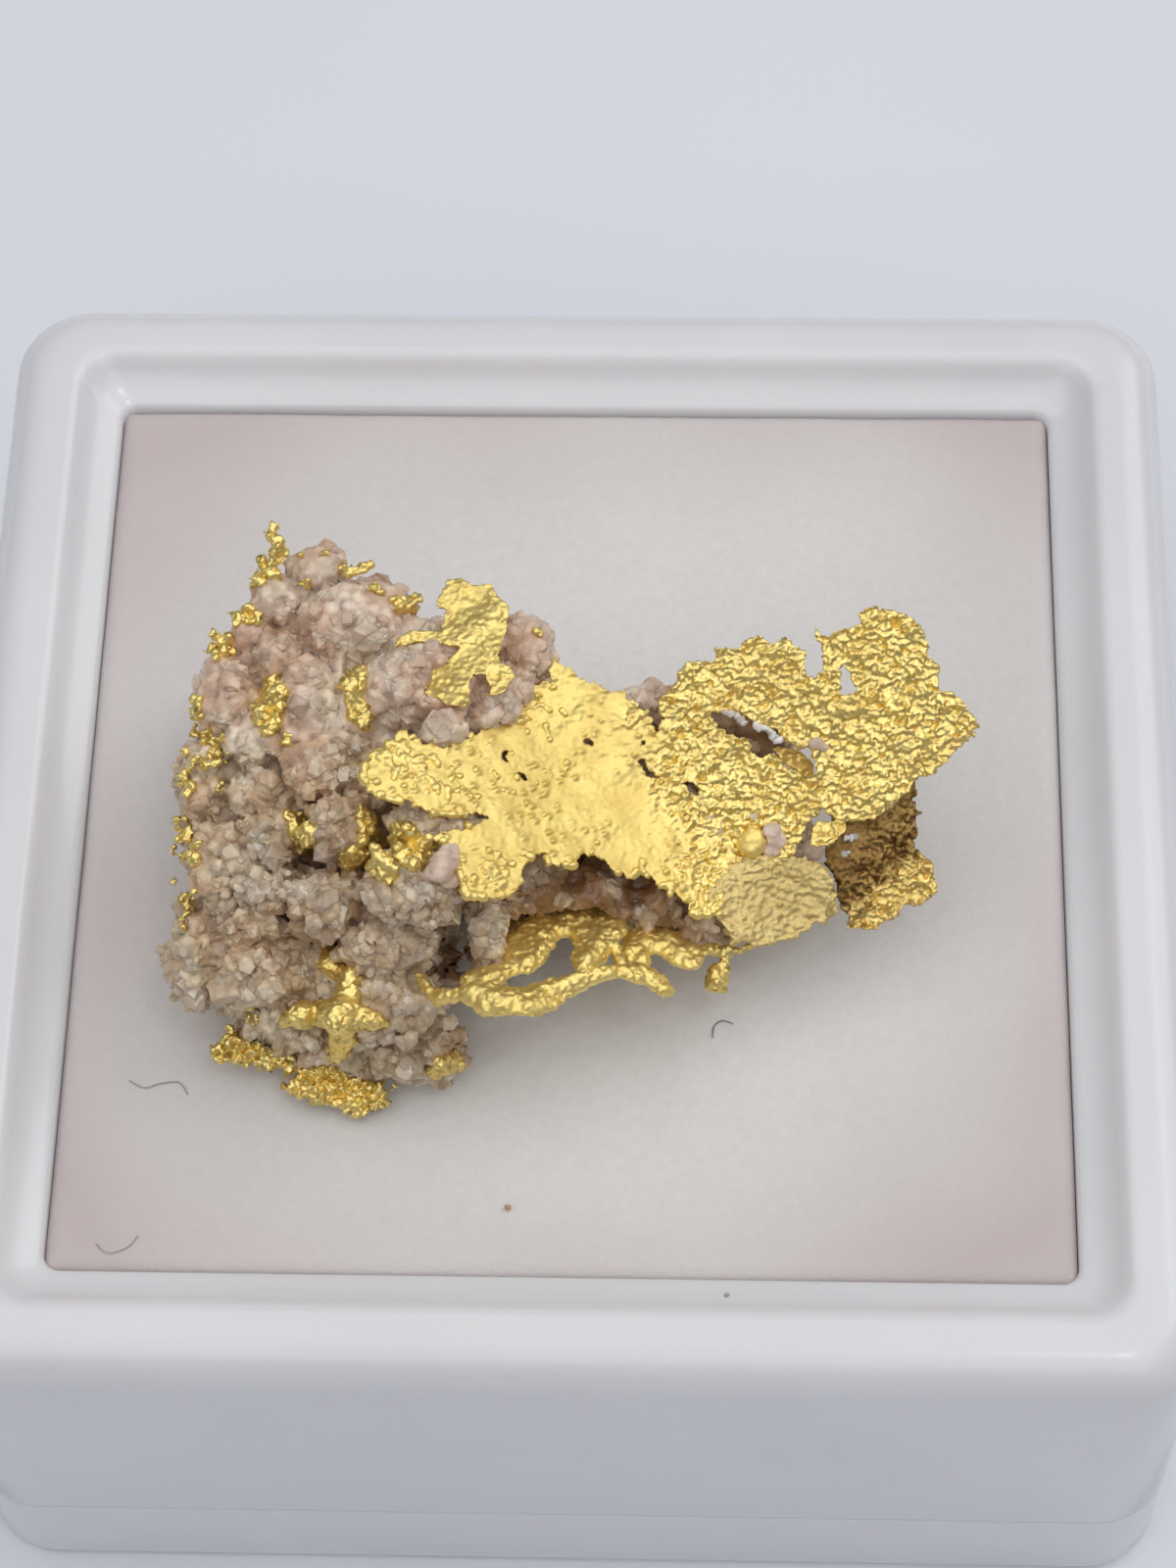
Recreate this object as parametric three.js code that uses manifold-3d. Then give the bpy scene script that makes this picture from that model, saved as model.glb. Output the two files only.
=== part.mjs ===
// A thumbnail specimen of leaf gold on quartz, resting on the pad of a small white display box.
// Millimetres, +Z up. The origin is the centre of the box's underside, and the front is -Y.
import * as THREE from 'three';
import { mergeVertices } from 'three/addons/utils/BufferGeometryUtils.js';
import Module from 'manifold-3d';

const wasm = await Module();
wasm.setup();

// The display box
const BOX_SIDE = 40;
const BOX_HEIGHT = 18;
const BOX_CORNER = 2.5;
const BOX_WALL = 1.5;
const SEAM_HEIGHT = 5.1;
const SEAM_BEVEL = 0.15;
const FOOT_BEVEL = 0.6;
const RIM_ROUND = 1.5;
const RIM_FLAT = 0.75;
const RIM_DROP = 1.2;
const CORNER_STEPS = 3;

// The pad, and the pocket of the tray that holds it
const PAD_SIDE = 32.3;
const PAD_CORNER = 0.6;
const PAD_THICKNESS = 5;
const PAD_CLEARANCE = 0.1;
const PAD_TOP = BOX_HEIGHT - RIM_DROP;
const POCKET_FLOOR = PAD_TOP - PAD_THICKNESS;

// The specimen is drawn as it is seen from above and in front: a point [x, y] is where the line
// of sight through it meets the top of the pad, and the point is then lifted along that line.
const EYE = new THREE.Vector3(4.52, -61.8, 115.57);

// Gold and stone stay this far apart, so that no two solids share space
const GAP = 0.03;

// The leaves and patches of gold, and the side of the flat cells that they bend in
const LEAF_THICKNESS = 0.26;
const PATCH_THICKNESS = 0.34;
const LEAF_CELL = 2.4;

// A leaf that lies under the large one has its face this far below the other's
const UNDER_MAIN = LEAF_THICKNESS + 0.16;
const PATCH_CELL = 1;
// A height that the whole specimen stays below
const STONE_TOP = 14;

// Lumps of quartz wider than this have four times the faces
const ROUNDER_ABOVE = 1.85;

const WHITE_PLASTIC = new THREE.MeshStandardMaterial({ color: 0xeeeff2, roughness: 0.22, metalness: 0 });
const PAD_FOAM = new THREE.MeshStandardMaterial({ color: 0xd2d0cf, roughness: 0.95, metalness: 0 });
const QUARTZ = new THREE.MeshStandardMaterial({ color: 0xb3a39e, roughness: 0.5, metalness: 0 });
const YELLOW_GOLD = new THREE.MeshStandardMaterial({ color: 0xe8c866, roughness: 0.35, metalness: 1 });
const OLIVE_GOLD = new THREE.MeshStandardMaterial({ color: 0xc4b06c, roughness: 0.5, metalness: 1 });
const SHADED_GOLD = new THREE.MeshStandardMaterial({ color: 0x9a7434, roughness: 0.4, metalness: 1 });

const specimen = new THREE.Group();

function addPiece(name, geometry, material) {
  geometry.computeVertexNormals();
  const mesh = new THREE.Mesh(geometry, material);
  mesh.name = name;
  specimen.add(mesh);
}

// A repeatable number from 0 to 1 for each pair of numbers
function chance(seed, index) {
  const wave = Math.sin(seed * 127.1 + index * 311.7) * 43758.5453;
  return wave - Math.floor(wave);
}

// Lift the seen point [x, y] to the height z above the pad, along its line of sight
function place(x, y, z) {
  const along = z / EYE.z;
  return new THREE.Vector3(x + (EYE.x - x) * along, y + (EYE.y - y) * along, z);
}

function bare(geometry) {
  geometry.deleteAttribute('normal');
  geometry.deleteAttribute('uv');
  return mergeVertices(geometry, 1e-5);
}

function solidOf(geometry) {
  const merged = bare(geometry.clone());
  return new wasm.Manifold(new wasm.Mesh({
    numProp: 3,
    vertProperties: new Float32Array(merged.attributes.position.array),
    triVerts: new Uint32Array(merged.index.array),
  }));
}

function geometryOf(solid) {
  const mesh = solid.getMesh();
  const geometry = new THREE.BufferGeometry();
  geometry.setAttribute('position', new THREE.BufferAttribute(new Float32Array(mesh.vertProperties), 3));
  geometry.setIndex(new THREE.BufferAttribute(new Uint32Array(mesh.triVerts), 1));
  return geometry;
}

// The connected shell with the most triangles: crumbs and sealed bubbles are left out
function mainShell(geometry) {
  const index = geometry.index.array;
  const parent = Array.from({ length: geometry.attributes.position.count }, (_, i) => i);
  const root = (i) => {
    let r = i;
    while (parent[r] !== r) {
      parent[r] = parent[parent[r]];
      r = parent[r];
    }
    return r;
  };
  for (let t = 0; t < index.length; t += 3) {
    parent[root(index[t + 1])] = root(index[t]);
    parent[root(index[t + 2])] = root(index[t]);
  }
  const faces = new Map();
  for (let t = 0; t < index.length; t += 3) {
    const shell = root(index[t]);
    if (!faces.has(shell)) faces.set(shell, []);
    faces.get(shell).push(index[t], index[t + 1], index[t + 2]);
  }
  const largest = [...faces.values()].sort((a, b) => b.length - a.length)[0];
  geometry.setIndex(largest);
  return geometry;
}

function moveVertices(geometry, move) {
  const position = geometry.attributes.position;
  const point = new THREE.Vector3();
  for (let i = 0; i < position.count; i += 1) {
    point.fromBufferAttribute(position, i);
    const moved = move(point);
    position.setXYZ(i, moved.x, moved.y, moved.z);
  }
  return geometry;
}

// A solid whose section is the closed profile [half width, height], carried round a square with
// rounded corners. The corner radius at the profile point comes from cornerAt.
function squareLathe(profile, cornerAt) {
  const columns = 4 * (CORNER_STEPS + 1);
  const points = profile.map(([half, z]) => new THREE.Vector2(half, z));
  const geometry = new THREE.LatheGeometry(points, columns);
  const position = geometry.attributes.position;
  for (let i = 0; i < position.count; i += 1) {
    const column = Math.floor(i / profile.length) % columns;
    const [half, z] = profile[i % profile.length];
    const corner = Math.floor(column / (CORNER_STEPS + 1));
    const step = column % (CORNER_STEPS + 1);
    const radius = Math.min(cornerAt(half), half);
    const angle = (corner + step / CORNER_STEPS) * Math.PI / 2;
    const middle = (corner + 0.5) * Math.PI / 2;
    const side = (half - radius) * Math.SQRT2;
    const x = side * Math.cos(middle) + radius * Math.cos(angle);
    const y = side * Math.sin(middle) + radius * Math.sin(angle);
    position.setXYZ(i, x, y, z);
  }
  return bare(geometry);
}

// Box: an upper tray with a rounded rim, and a base below the seam
const outer = BOX_SIDE / 2;
const pocket = PAD_SIDE / 2;
const boxCorner = (half) => Math.max(PAD_CORNER, BOX_CORNER - (outer - half) * 0.5);

function arc(centreX, centreZ, radius, from, to, steps) {
  const points = [];
  for (let i = 0; i <= steps; i += 1) {
    const angle = THREE.MathUtils.degToRad(from + (to - from) * i / steps);
    points.push([centreX + radius * Math.cos(angle), centreZ + radius * Math.sin(angle)]);
  }
  return points;
}

function tray() {
  const inside = outer - BOX_WALL;
  const ceiling = POCKET_FLOOR - BOX_WALL;
  const lip = outer - RIM_ROUND - RIM_FLAT;
  const slope = lip - pocket;
  return squareLathe([
    [0, ceiling],
    [inside, ceiling],
    [inside, SEAM_HEIGHT],
    [outer - SEAM_BEVEL, SEAM_HEIGHT],
    [outer, SEAM_HEIGHT + SEAM_BEVEL],
    ...arc(outer - RIM_ROUND, BOX_HEIGHT - RIM_ROUND, RIM_ROUND, 0, 90, 4),
    [lip, BOX_HEIGHT],
    [lip - slope * 0.25, BOX_HEIGHT - RIM_DROP * 0.35],
    [lip - slope * 0.6, BOX_HEIGHT - RIM_DROP * 0.75],
    [pocket, PAD_TOP],
    [pocket, POCKET_FLOOR],
    [0, POCKET_FLOOR],
  ], boxCorner);
}

function base() {
  const inside = outer - BOX_WALL;
  return squareLathe([
    [0, 0],
    [outer - FOOT_BEVEL, 0],
    [outer, FOOT_BEVEL],
    [outer, SEAM_HEIGHT - SEAM_BEVEL],
    [outer - SEAM_BEVEL, SEAM_HEIGHT],
    [inside, SEAM_HEIGHT],
    [inside, BOX_WALL],
    [0, BOX_WALL],
  ], boxCorner);
}

function pad() {
  const half = pocket - PAD_CLEARANCE;
  return squareLathe([
    [0, POCKET_FLOOR],
    [half, POCKET_FLOOR],
    [half, PAD_TOP - 0.5],
    [half - 0.25, PAD_TOP - 0.15],
    [half - 0.9, PAD_TOP],
    [0, PAD_TOP],
  ], () => PAD_CORNER);
}

// Lumps of quartz are out of round by up to this much, and one in four bears a crystal
const LUMP_UNEVEN = 0.15;
const CRYSTAL_EVERY = 4;
const CRYSTAL_RADIUS = 0.26;
const CRYSTAL_SPREAD = 0.22;

// Height above the pad of the slope that most of the specimen's face follows
const SLOPE_HEIGHT = 5.4;
const SLOPE_RISE = 0.45;
const slopeAt = (y) => SLOPE_HEIGHT + SLOPE_RISE * y;

// The large leaf leaves that slope along a line, and is level to the left of it
const HINGE = { x: -1.5, y: 5.2, nx: -0.718, ny: -0.695, rise: 0.65, ease: 1.2 };
const MAIN_LEAF_TOP = 9.9;
const MAIN_LEAF_RIPPLE = 0.2;

function ripple(x, y, size) {
  const long = Math.sin(x * 1.7 + 0.6 * y) * Math.cos(y * 1.3 - 0.4 * x);
  const short = Math.sin(x * 3.9 + 2.1) * Math.sin(y * 3.3 + 1.2 * x);
  return size * (0.6 * long + 0.4 * short);
}

function mainHeight(x, y) {
  const past = (x - HINGE.x) * HINGE.nx + (y - HINGE.y) * HINGE.ny;
  const bend = 0.5 * (past + Math.sqrt(past * past + HINGE.ease));
  return Math.min(slopeAt(y) + HINGE.rise * bend, MAIN_LEAF_TOP) + ripple(x, y, MAIN_LEAF_RIPPLE);
}

// The quartz: rounded lumps, each [x, y, height, half width, half depth, half height]
const SEEN_LUMPS = [
  // the top left
  [-9.0, 9.35, 8.9, 1.1, 0.9, 1.0],
  [-10.1, 8.35, 8.5, 1.0, 0.95, 1.0],
  [-7.6, 7.3, 8.0, 2.1, 1.6, 1.6],
  [-11.1, 6.7, 7.9, 0.8, 0.75, 0.8],
  [-10.0, 6.0, 7.9, 1.1, 1.1, 1.0],
  [-11.7, 4.4, 6.9, 1.25, 1.8, 1.5],
  [-9.1, 4.5, 7.7, 1.1, 1.7, 1.2],
  [-10.6, 2.7, 6.9, 1.3, 1.2, 1.2],
  [-5.9, 6.7, 8.0, 1.2, 1.0, 1.0],
  [-5.0, 4.9, 8.3, 2.3, 1.5, 1.2],
  [-2.8, 4.4, 8.0, 1.4, 1.3, 1.0],
  [-1.75, 6.3, 7.5, 1.0, 1.0, 1.1],
  [-4.4, 3.1, 8.5, 0.9, 0.7, 0.8],
  // the left edge and the face below
  [-8.4, 1.6, 7.4, 1.4, 1.1, 1.0],
  [-10.3, 0.8, 6.6, 1.3, 1.1, 1.0],
  [-12.0, 1.1, 5.7, 1.1, 2.0, 1.5],
  [-11.4, -1.6, 5.2, 1.3, 2.1, 1.5],
  [-9.8, -0.8, 6.2, 1.1, 1.2, 1.1],
  [-9.9, -2.7, 5.3, 1.5, 1.1, 1.2],
  [-7.6, -0.5, 7.0, 1.1, 1.2, 1.2],
  [-12.1, -5.0, 3.3, 1.15, 2.0, 1.8],
  [-10.3, -4.2, 4.5, 1.3, 1.0, 1.2],
  [-7.6, -3.3, 5.8, 1.5, 1.3, 1.3],
  [-10.0, -6.0, 3.4, 1.9, 1.4, 1.8],
  [-8.9, -7.6, 2.3, 1.6, 1.1, 1.6],
  [-5.9, -4.7, 5.2, 1.6, 1.2, 1.5],
  [-5.2, -2.7, 6.9, 1.7, 1.3, 1.4],
  [-4.5, -0.5, 7.5, 1.6, 1.1, 1.1],
  [-5.8, -7.0, 3.4, 1.9, 1.4, 1.8],
  [-5.0, -8.3, 1.9, 1.8, 1.2, 1.6],
  [-7.3, -8.7, 1.3, 1.7, 0.9, 1.2],
  // under the large leaf and in the hollow below it
  [2.5, 4.2, 6.1, 1.4, 0.95, 1.1],
  [5.4, 3.2, 5.1, 1.8, 1.0, 1.1],
  [-1.2, -2.6, 4.5, 1.6, 1.5, 1.8],
  [0.9, -2.9, 3.9, 1.6, 1.4, 1.6],
  [2.8, -2.9, 3.5, 1.5, 1.4, 1.5],
  [4.1, -3.9, 2.7, 1.2, 0.9, 1.5],
  [-2.45, -4.4, 4.4, 0.8, 1.3, 1.8],
  [6.4, -0.3, 4.0, 1.5, 1.5, 1.4],
];

// Lumps inside and behind, at their own x and y: [x, y, height, half width, half depth, half height]
const HIDDEN_LUMPS = [
  [-7.6, 0.0, 4.0, 4.3, 4.6, 4.6],
  [-7.6, -5.4, 1.5, 4.3, 4.2, 3.4],
  [-1.6, -0.9, 3.0, 3.8, 4.0, 4.0],
  [2.8, -1.5, 2.2, 5.0, 3.6, 3.5],
  [-9.4, 2.9, 2.6, 2.4, 2.4, 3.6],
  [-4.6, 2.7, 2.6, 3.2, 2.4, 4.0],
];

// The dark pit beside the ropes, as an outline and a depth
const PIT = {
  outline: [[-4.6, -5.85], [-4.1, -5.0], [-4.0, -4.4], [-4.2, -4.0], [-3.6, -4.3], [-3.2, -4.6],
    [-3.0, -5.0], [-3.15, -5.5], [-3.5, -6.0], [-4.0, -6.15]],
  floor: 2.2,
};

function lumps() {
  const seen = SEEN_LUMPS.map(([x, y, z, ...radii]) => ({ centre: place(x, y, z), radii }));
  const hidden = HIDDEN_LUMPS.map(([x, y, z, ...radii]) => ({ centre: new THREE.Vector3(x, y, z), radii }));
  return [...seen, ...hidden];
}

// Height of the stone's face where the line of sight through [x, y] meets it
function stoneHeight(x, y) {
  const foot = place(x, y, 0);
  const rise = place(x, y, 1).sub(foot);
  let highest = 0;
  for (const { centre, radii } of lumps()) {
    const scale = new THREE.Vector3(1 / radii[0], 1 / radii[1], 1 / radii[2]);
    const from = foot.clone().sub(centre).multiply(scale);
    const along = rise.clone().multiply(scale);
    const a = along.dot(along);
    const b = from.dot(along);
    const c = from.dot(from) - 1;
    const root = b * b - a * c;
    if (root > 0) highest = Math.max(highest, (-b + Math.sqrt(root)) / a);
  }
  return highest;
}

function lump({ centre, radii }, seed) {
  const geometry = bare(new THREE.IcosahedronGeometry(1, Math.max(...radii) > ROUNDER_ABOVE ? 1 : 0));
  const position = geometry.attributes.position;
  for (let i = 0; i < position.count; i += 1) {
    const swell = 1 + LUMP_UNEVEN * (chance(seed, i) - 0.5);
    const x = position.getX(i) * radii[0] * swell;
    const y = position.getY(i) * radii[1] * swell;
    const z = position.getZ(i) * radii[2] * swell;
    position.setXYZ(i, centre.x + x, centre.y + y, centre.z + z);
  }
  return solidOf(geometry);
}

// A six-sided quartz crystal with a pointed end, standing out of its lump
function crystal(point, direction, radius, length, twist) {
  const profile = [[0, -length], [radius, -length], [radius, 0.2 * length], [0, length]];
  const geometry = new THREE.LatheGeometry(profile.map(([r, h]) => new THREE.Vector2(r, h)), 6);
  const up = new THREE.Vector3(0, 1, 0);
  geometry.rotateY(twist);
  geometry.applyQuaternion(new THREE.Quaternion().setFromUnitVectors(up, direction));
  geometry.translate(point.x, point.y, point.z);
  return solidOf(geometry);
}

const AXIS_X = new THREE.Vector3(1, 0, 0);

// A crystal that leans out of the upper half of a lump
function crystalOn({ centre, radii }, seed) {
  const turn = 2 * Math.PI * chance(seed, 1);
  const lean = Math.acos(0.95 - 0.85 * chance(seed, 2));
  const ray = new THREE.Vector3().setFromSphericalCoords(1, lean, turn).applyAxisAngle(AXIS_X, Math.PI / 2);
  const point = ray.clone().multiply(new THREE.Vector3(...radii)).multiplyScalar(0.97).add(centre);
  const size = CRYSTAL_RADIUS + CRYSTAL_SPREAD * chance(seed, 3);
  return crystal(point, ray, size, 0.9 * size, turn);
}

// A prism that follows the lines of sight through an outline is straight in [x, y, height]
function prism(outline, holes) {
  const shape = new THREE.Shape(outline.map(([x, y]) => new THREE.Vector2(x, y)));
  for (const hole of holes) {
    shape.holes.push(new THREE.Path(hole.map(([x, y]) => new THREE.Vector2(x, y))));
  }
  const geometry = new THREE.ExtrudeGeometry(shape, { depth: 2 * STONE_TOP, bevelEnabled: false });
  geometry.translate(0, 0, -0.5 * STONE_TOP);
  return solidOf(geometry);
}

// The layer between two heights, each a function of [x, y], in square cells over the outline
function layer(outline, low, high, cell) {
  const box = new THREE.Box2().setFromPoints(outline.map(([x, y]) => new THREE.Vector2(x, y)));
  const size = box.getSize(new THREE.Vector2()).addScalar(2 * cell);
  const middle = box.getCenter(new THREE.Vector2());
  const across = Math.ceil(size.x / cell);
  const deep = Math.ceil(size.y / cell);
  const geometry = new THREE.BoxGeometry(size.x, size.y, 2, across, deep, 1);
  moveVertices(geometry, (p) => {
    const x = p.x + middle.x;
    const y = p.y + middle.y;
    return new THREE.Vector3(x, y, p.z > 0 ? high(x, y) : low(x, y));
  });
  return solidOf(geometry);
}

function lifted(solid) {
  return moveVertices(geometryOf(solid), (p) => place(p.x, p.y, p.z));
}

// A thin leaf of gold, and the space that the stone leaves for it and in front of it
function leaf({ outline, holes = [], height, thickness = LEAF_THICKNESS, cell = LEAF_CELL }) {
  const edge = prism(outline, holes);
  const under = (x, y) => height(x, y) - thickness;
  const sheet = mainShell(lifted(edge.intersect(layer(outline, under, height, cell))));
  const room = lifted(edge.intersect(layer(outline, (x, y) => under(x, y) - GAP, () => STONE_TOP, cell)));
  return { sheet, room: solidOf(room) };
}

const ROPE_SIDES = 6;
const ROPE_UNEVEN = 0.12;

// A rope of gold along seen points [x, y, height, radius]
function rope(points, grow = 0) {
  const curve = new THREE.CatmullRomCurve3(points.map(([x, y, z]) => place(x, y, z)));
  const steps = points.length - 1;
  const geometry = new THREE.CylinderGeometry(1, 1, 1, ROPE_SIDES, steps, false);
  const frames = curve.computeFrenetFrames(steps, false);
  moveVertices(geometry, (p) => {
    const step = Math.round((p.y + 0.5) * steps);
    const radius = points[step][3] + grow;
    const lumpy = 1 + ROPE_UNEVEN * Math.sin(step * 2.4);
    return curve.getPoint(step / steps)
      .addScaledVector(frames.normals[step], p.z * radius * lumpy)
      .addScaledVector(frames.binormals[step], p.x * radius * lumpy);
  });
  return solidOf(geometry);
}

// Grains larger than this are round
const ROUND_GRAIN = 0.35;

// Small many-faced crystals of gold grown together: seen points [x, y, height, radius]
function grains(points, grow = 0) {
  return points.map(([x, y, z, radius], i) => {
    const faceted = radius > ROUND_GRAIN
      ? new THREE.IcosahedronGeometry(1.05 * radius + grow, 1)
      : new THREE.OctahedronGeometry(1.25 * radius + grow, 0);
    const geometry = bare(faceted);
    const centre = place(x, y, z);
    geometry.rotateX(0.5 + i);
    geometry.rotateZ(0.7 * i);
    geometry.translate(centre.x, centre.y, centre.z);
    return solidOf(geometry);
  }).reduce((all, grain) => all.add(grain));
}

const MAIN_LEAF = {
  outline: [
    // the finger at the left
    [-6.7, 0.9], [-7.0, 1.5], [-6.9, 2.1], [-6.5, 2.5], [-6.15, 2.75], [-6.0, 3.1], [-5.7, 3.3],
    [-5.45, 2.95], [-5.2, 3.15], [-4.95, 2.75], [-4.2, 2.6], [-3.8, 2.8], [-3.3, 3.15],
    // the back edge, up to the dark notch
    [-2.75, 3.45], [-2.3, 3.85], [-1.75, 4.4], [-1.6, 4.8], [-1.2, 5.15], [-0.75, 5.1], [-0.95, 5.6],
    [-0.85, 6.1], [-0.3, 5.75], [0.3, 5.3], [1.1, 4.9], [1.7, 4.7], [2.4, 4.05], [2.75, 3.35],
    [3.0, 3.8], [2.75, 4.2], [2.8, 4.7], [3.3, 5.0], [3.45, 5.6], [3.7, 5.95], [4.15, 6.05],
    // the crinkled plate, round its far edge
    [4.6, 6.0], [4.65, 6.6], [5.35, 6.55], [5.8, 6.95], [6.3, 7.05], [6.55, 6.8], [7.0, 7.0],
    [7.4, 6.7], [7.75, 6.55], [7.6, 6.1], [7.75, 5.55], [8.15, 5.5], [8.3, 5.95], [8.25, 6.6],
    [7.95, 7.4], [8.5, 7.0], [9.0, 7.4], [9.45, 7.55], [9.6, 8.1], [10.1, 8.3], [10.6, 8.1],
    [11.1, 7.95], [11.6, 7.6], [11.8, 7.1], [11.9, 6.3], [12.2, 5.8], [12.2, 5.0], [12.65, 4.9],
    [13.1, 4.35], [13.55, 3.6], [12.9, 2.9], [12.4, 2.3], [11.9, 1.8], [11.4, 1.6],
    // the near edge, back to the left
    [11.0, 1.0], [10.4, 0.4], [9.9, 0.1], [9.3, -0.05], [8.7, 0.0], [8.25, 0.4], [8.0, 0.25],
    [7.7, -0.1], [7.5, -0.7], [7.4, -1.3], [6.9, -1.6], [6.2, -1.7], [5.4, -1.75], [4.8, -2.2],
    [4.9, -3.0], [4.9, -3.5], [4.2, -3.55], [3.85, -3.4], [3.9, -2.95], [3.3, -2.8], [2.9, -2.4],
    [2.4, -2.05], [2.3, -1.45], [2.2, -1.95], [1.9, -2.25], [1.4, -1.9], [1.0, -1.6], [0.7, -1.3],
    [0.4, -1.35], [0.1, -1.75], [-0.75, -1.7], [-0.9, -1.25], [-1.35, -1.45], [-1.6, -2.0],
    [-1.6, -2.5], [-1.9, -2.85], [-2.6, -3.0], [-3.4, -2.9], [-3.6, -2.2], [-3.8, -1.4],
    [-4.2, -0.9], [-4.85, -0.75],
    // the slot under the finger
    [-4.2, -0.6], [-3.5, -0.4], [-2.85, -0.1], [-2.9, 0.1], [-3.8, 0.05], [-4.8, 0.15],
    [-5.4, 0.5], [-6.0, 0.6],
  ],
  holes: [
    [[4.6, 4.05], [4.75, 3.5], [5.2, 3.2], [5.7, 3.0], [6.15, 2.35], [6.5, 2.5], [7.0, 2.05],
      [7.6, 1.6], [7.95, 1.6], [8.1, 1.9], [7.85, 2.65], [7.0, 2.95], [6.6, 3.5], [5.9, 3.8], [5.3, 4.1]],
    [[8.9, 4.75], [9.2, 4.75], [9.4, 5.1], [9.2, 5.7], [9.0, 6.0], [8.9, 5.5]],
  ],
  height: mainHeight,
};

const OLIVE_LEAF = {
  outline: [[5.2, -1.3], [6.2, -1.1], [7.0, -1.05], [7.6, -1.4], [8.2, -1.6], [8.55, -2.2], [8.65, -2.9],
    [8.8, -3.4], [8.3, -3.6], [7.9, -3.9], [7.55, -4.0], [7.4, -4.25], [6.8, -4.1], [6.2, -4.4],
    [5.6, -4.45], [5.15, -4.5], [5.05, -3.9], [5.0, -3.2], [5.0, -2.2]],
  height: (x, y) => Math.min(slopeAt(y) + ripple(x, y, 0.12), mainHeight(x, y) - UNDER_MAIN),
};

const SHADED_LEAF = {
  outline: [[8.5, 0.3], [9.4, 0.45], [10.2, 0.85], [10.9, 1.4], [11.3, 1.75], [11.35, 1.2], [11.4, 0.4],
    [11.4, -0.4], [11.2, -0.7], [11.5, -1.1], [11.85, -1.6], [11.95, -2.1], [11.85, -2.7], [11.6, -3.05],
    [11.2, -3.05], [10.9, -3.0], [10.8, -3.4], [10.4, -3.6], [10.0, -3.9], [9.4, -3.95], [9.0, -3.95],
    [9.1, -3.5], [8.75, -3.3], [8.7, -2.8], [8.6, -2.1], [8.3, -1.65], [8.35, -1.1], [8.55, -0.8],
    [8.5, -0.2]],
  holes: [
    [[8.95, -0.75], [9.2, -0.8], [9.4, -0.55], [9.15, -0.5]],
    [[8.85, -1.25], [9.1, -1.4], [9.1, -1.15]],
  ],
  height: (x, y) => Math.min(
    slopeAt(y) - 0.15 + ripple(x + 3, y, 0.16),
    mainHeight(x, y) - UNDER_MAIN,
  ),
};

const FLAG_LEAF = {
  outline: [[-4.85, 8.3], [-4.6, 8.85], [-4.55, 9.15], [-4.0, 9.25], [-3.7, 9.0], [-2.9, 8.95],
    [-2.75, 8.55], [-2.35, 8.15], [-2.4, 7.2], [-2.6, 6.4], [-2.6, 6.0], [-2.2, 5.75], [-2.1, 5.4],
    [-2.45, 4.75], [-2.9, 4.6], [-2.9, 5.1], [-3.1, 5.45], [-3.45, 5.45], [-3.6, 5.1], [-3.5, 4.5],
    [-3.7, 4.15], [-4.3, 4.25], [-4.65, 4.5], [-5.1, 4.7], [-4.9, 5.2], [-4.9, 5.6], [-4.4, 5.85],
    [-3.95, 6.5], [-4.6, 6.65], [-5.4, 6.7], [-5.75, 6.5], [-6.15, 6.5], [-6.1, 6.85], [-5.7, 7.1],
    [-4.6, 7.15], [-4.5, 8.0], [-4.75, 8.05]],
  height: (x, y) => 9.35 + 0.1 * Math.max(0, 6 - y) + ripple(x, y, 0.15),
};

// The gold that comes forward out of the hollow, over the pad
const FRONT_LEAF = {
  outline: [[-1.85, -3.55], [-1.0, -3.65], [-0.3, -3.5], [0.3, -3.4], [0.9, -3.3], [1.25, -3.65],
    [1.9, -3.85], [1.85, -4.2], [1.5, -4.7], [1.1, -5.2], [0.8, -5.5], [0.3, -5.5], [0.15, -5.2],
    [0.25, -4.7], [0.1, -4.35], [-0.3, -4.35], [-0.5, -4.75], [-0.75, -5.25], [-1.2, -5.65],
    [-1.8, -5.75], [-2.4, -6.25], [-3.2, -6.3], [-3.5, -6.05], [-3.2, -5.75], [-2.7, -5.55],
    [-2.05, -5.4], [-2.0, -4.8], [-1.9, -4.2]],
  height: (x, y) => 4.0 - 0.75 * (y + 3.5) + ripple(x, y, 0.12),
  thickness: 0.4,
};

const SIDE_LEAF = {
  outline: [[2.0, -4.1], [2.4, -4.0], [3.0, -4.05], [3.6, -4.15], [3.7, -4.5], [4.2, -4.65], [4.8, -4.6],
    [4.85, -4.85], [4.4, -5.0], [4.3, -5.4], [3.9, -5.5], [3.5, -5.35], [3.1, -5.05], [2.8, -4.9],
    [2.55, -5.0], [2.7, -5.4], [2.5, -5.5], [2.0, -5.3], [1.6, -5.0], [1.75, -4.6]],
  height: (x, y) => 3.5 - 0.6 * (y + 4) - 0.12 * (x - 2) + ripple(x, y, 0.1),
  thickness: 0.36,
};

// The low rope, from the stone at the left round the front to its free tip
const LOW_ROPE = [[-4.8, -6.0, 4.9, 0.22], [-4.35, -6.65, 5.3, 0.26], [-3.6, -6.72, 5.7, 0.3],
  [-2.9, -6.85, 6.0, 0.36], [-2.2, -6.9, 6.1, 0.38], [-1.5, -6.8, 6.1, 0.36], [-0.8, -6.55, 6.0, 0.3],
  [-0.1, -6.15, 5.8, 0.26], [0.6, -5.9, 5.5, 0.2], [1.4, -5.72, 5.1, 0.15], [2.1, -5.72, 4.7, 0.16],
  [2.7, -5.95, 4.4, 0.18], [3.1, -6.25, 4.2, 0.18], [3.35, -6.5, 4.1, 0.15]];

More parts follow.
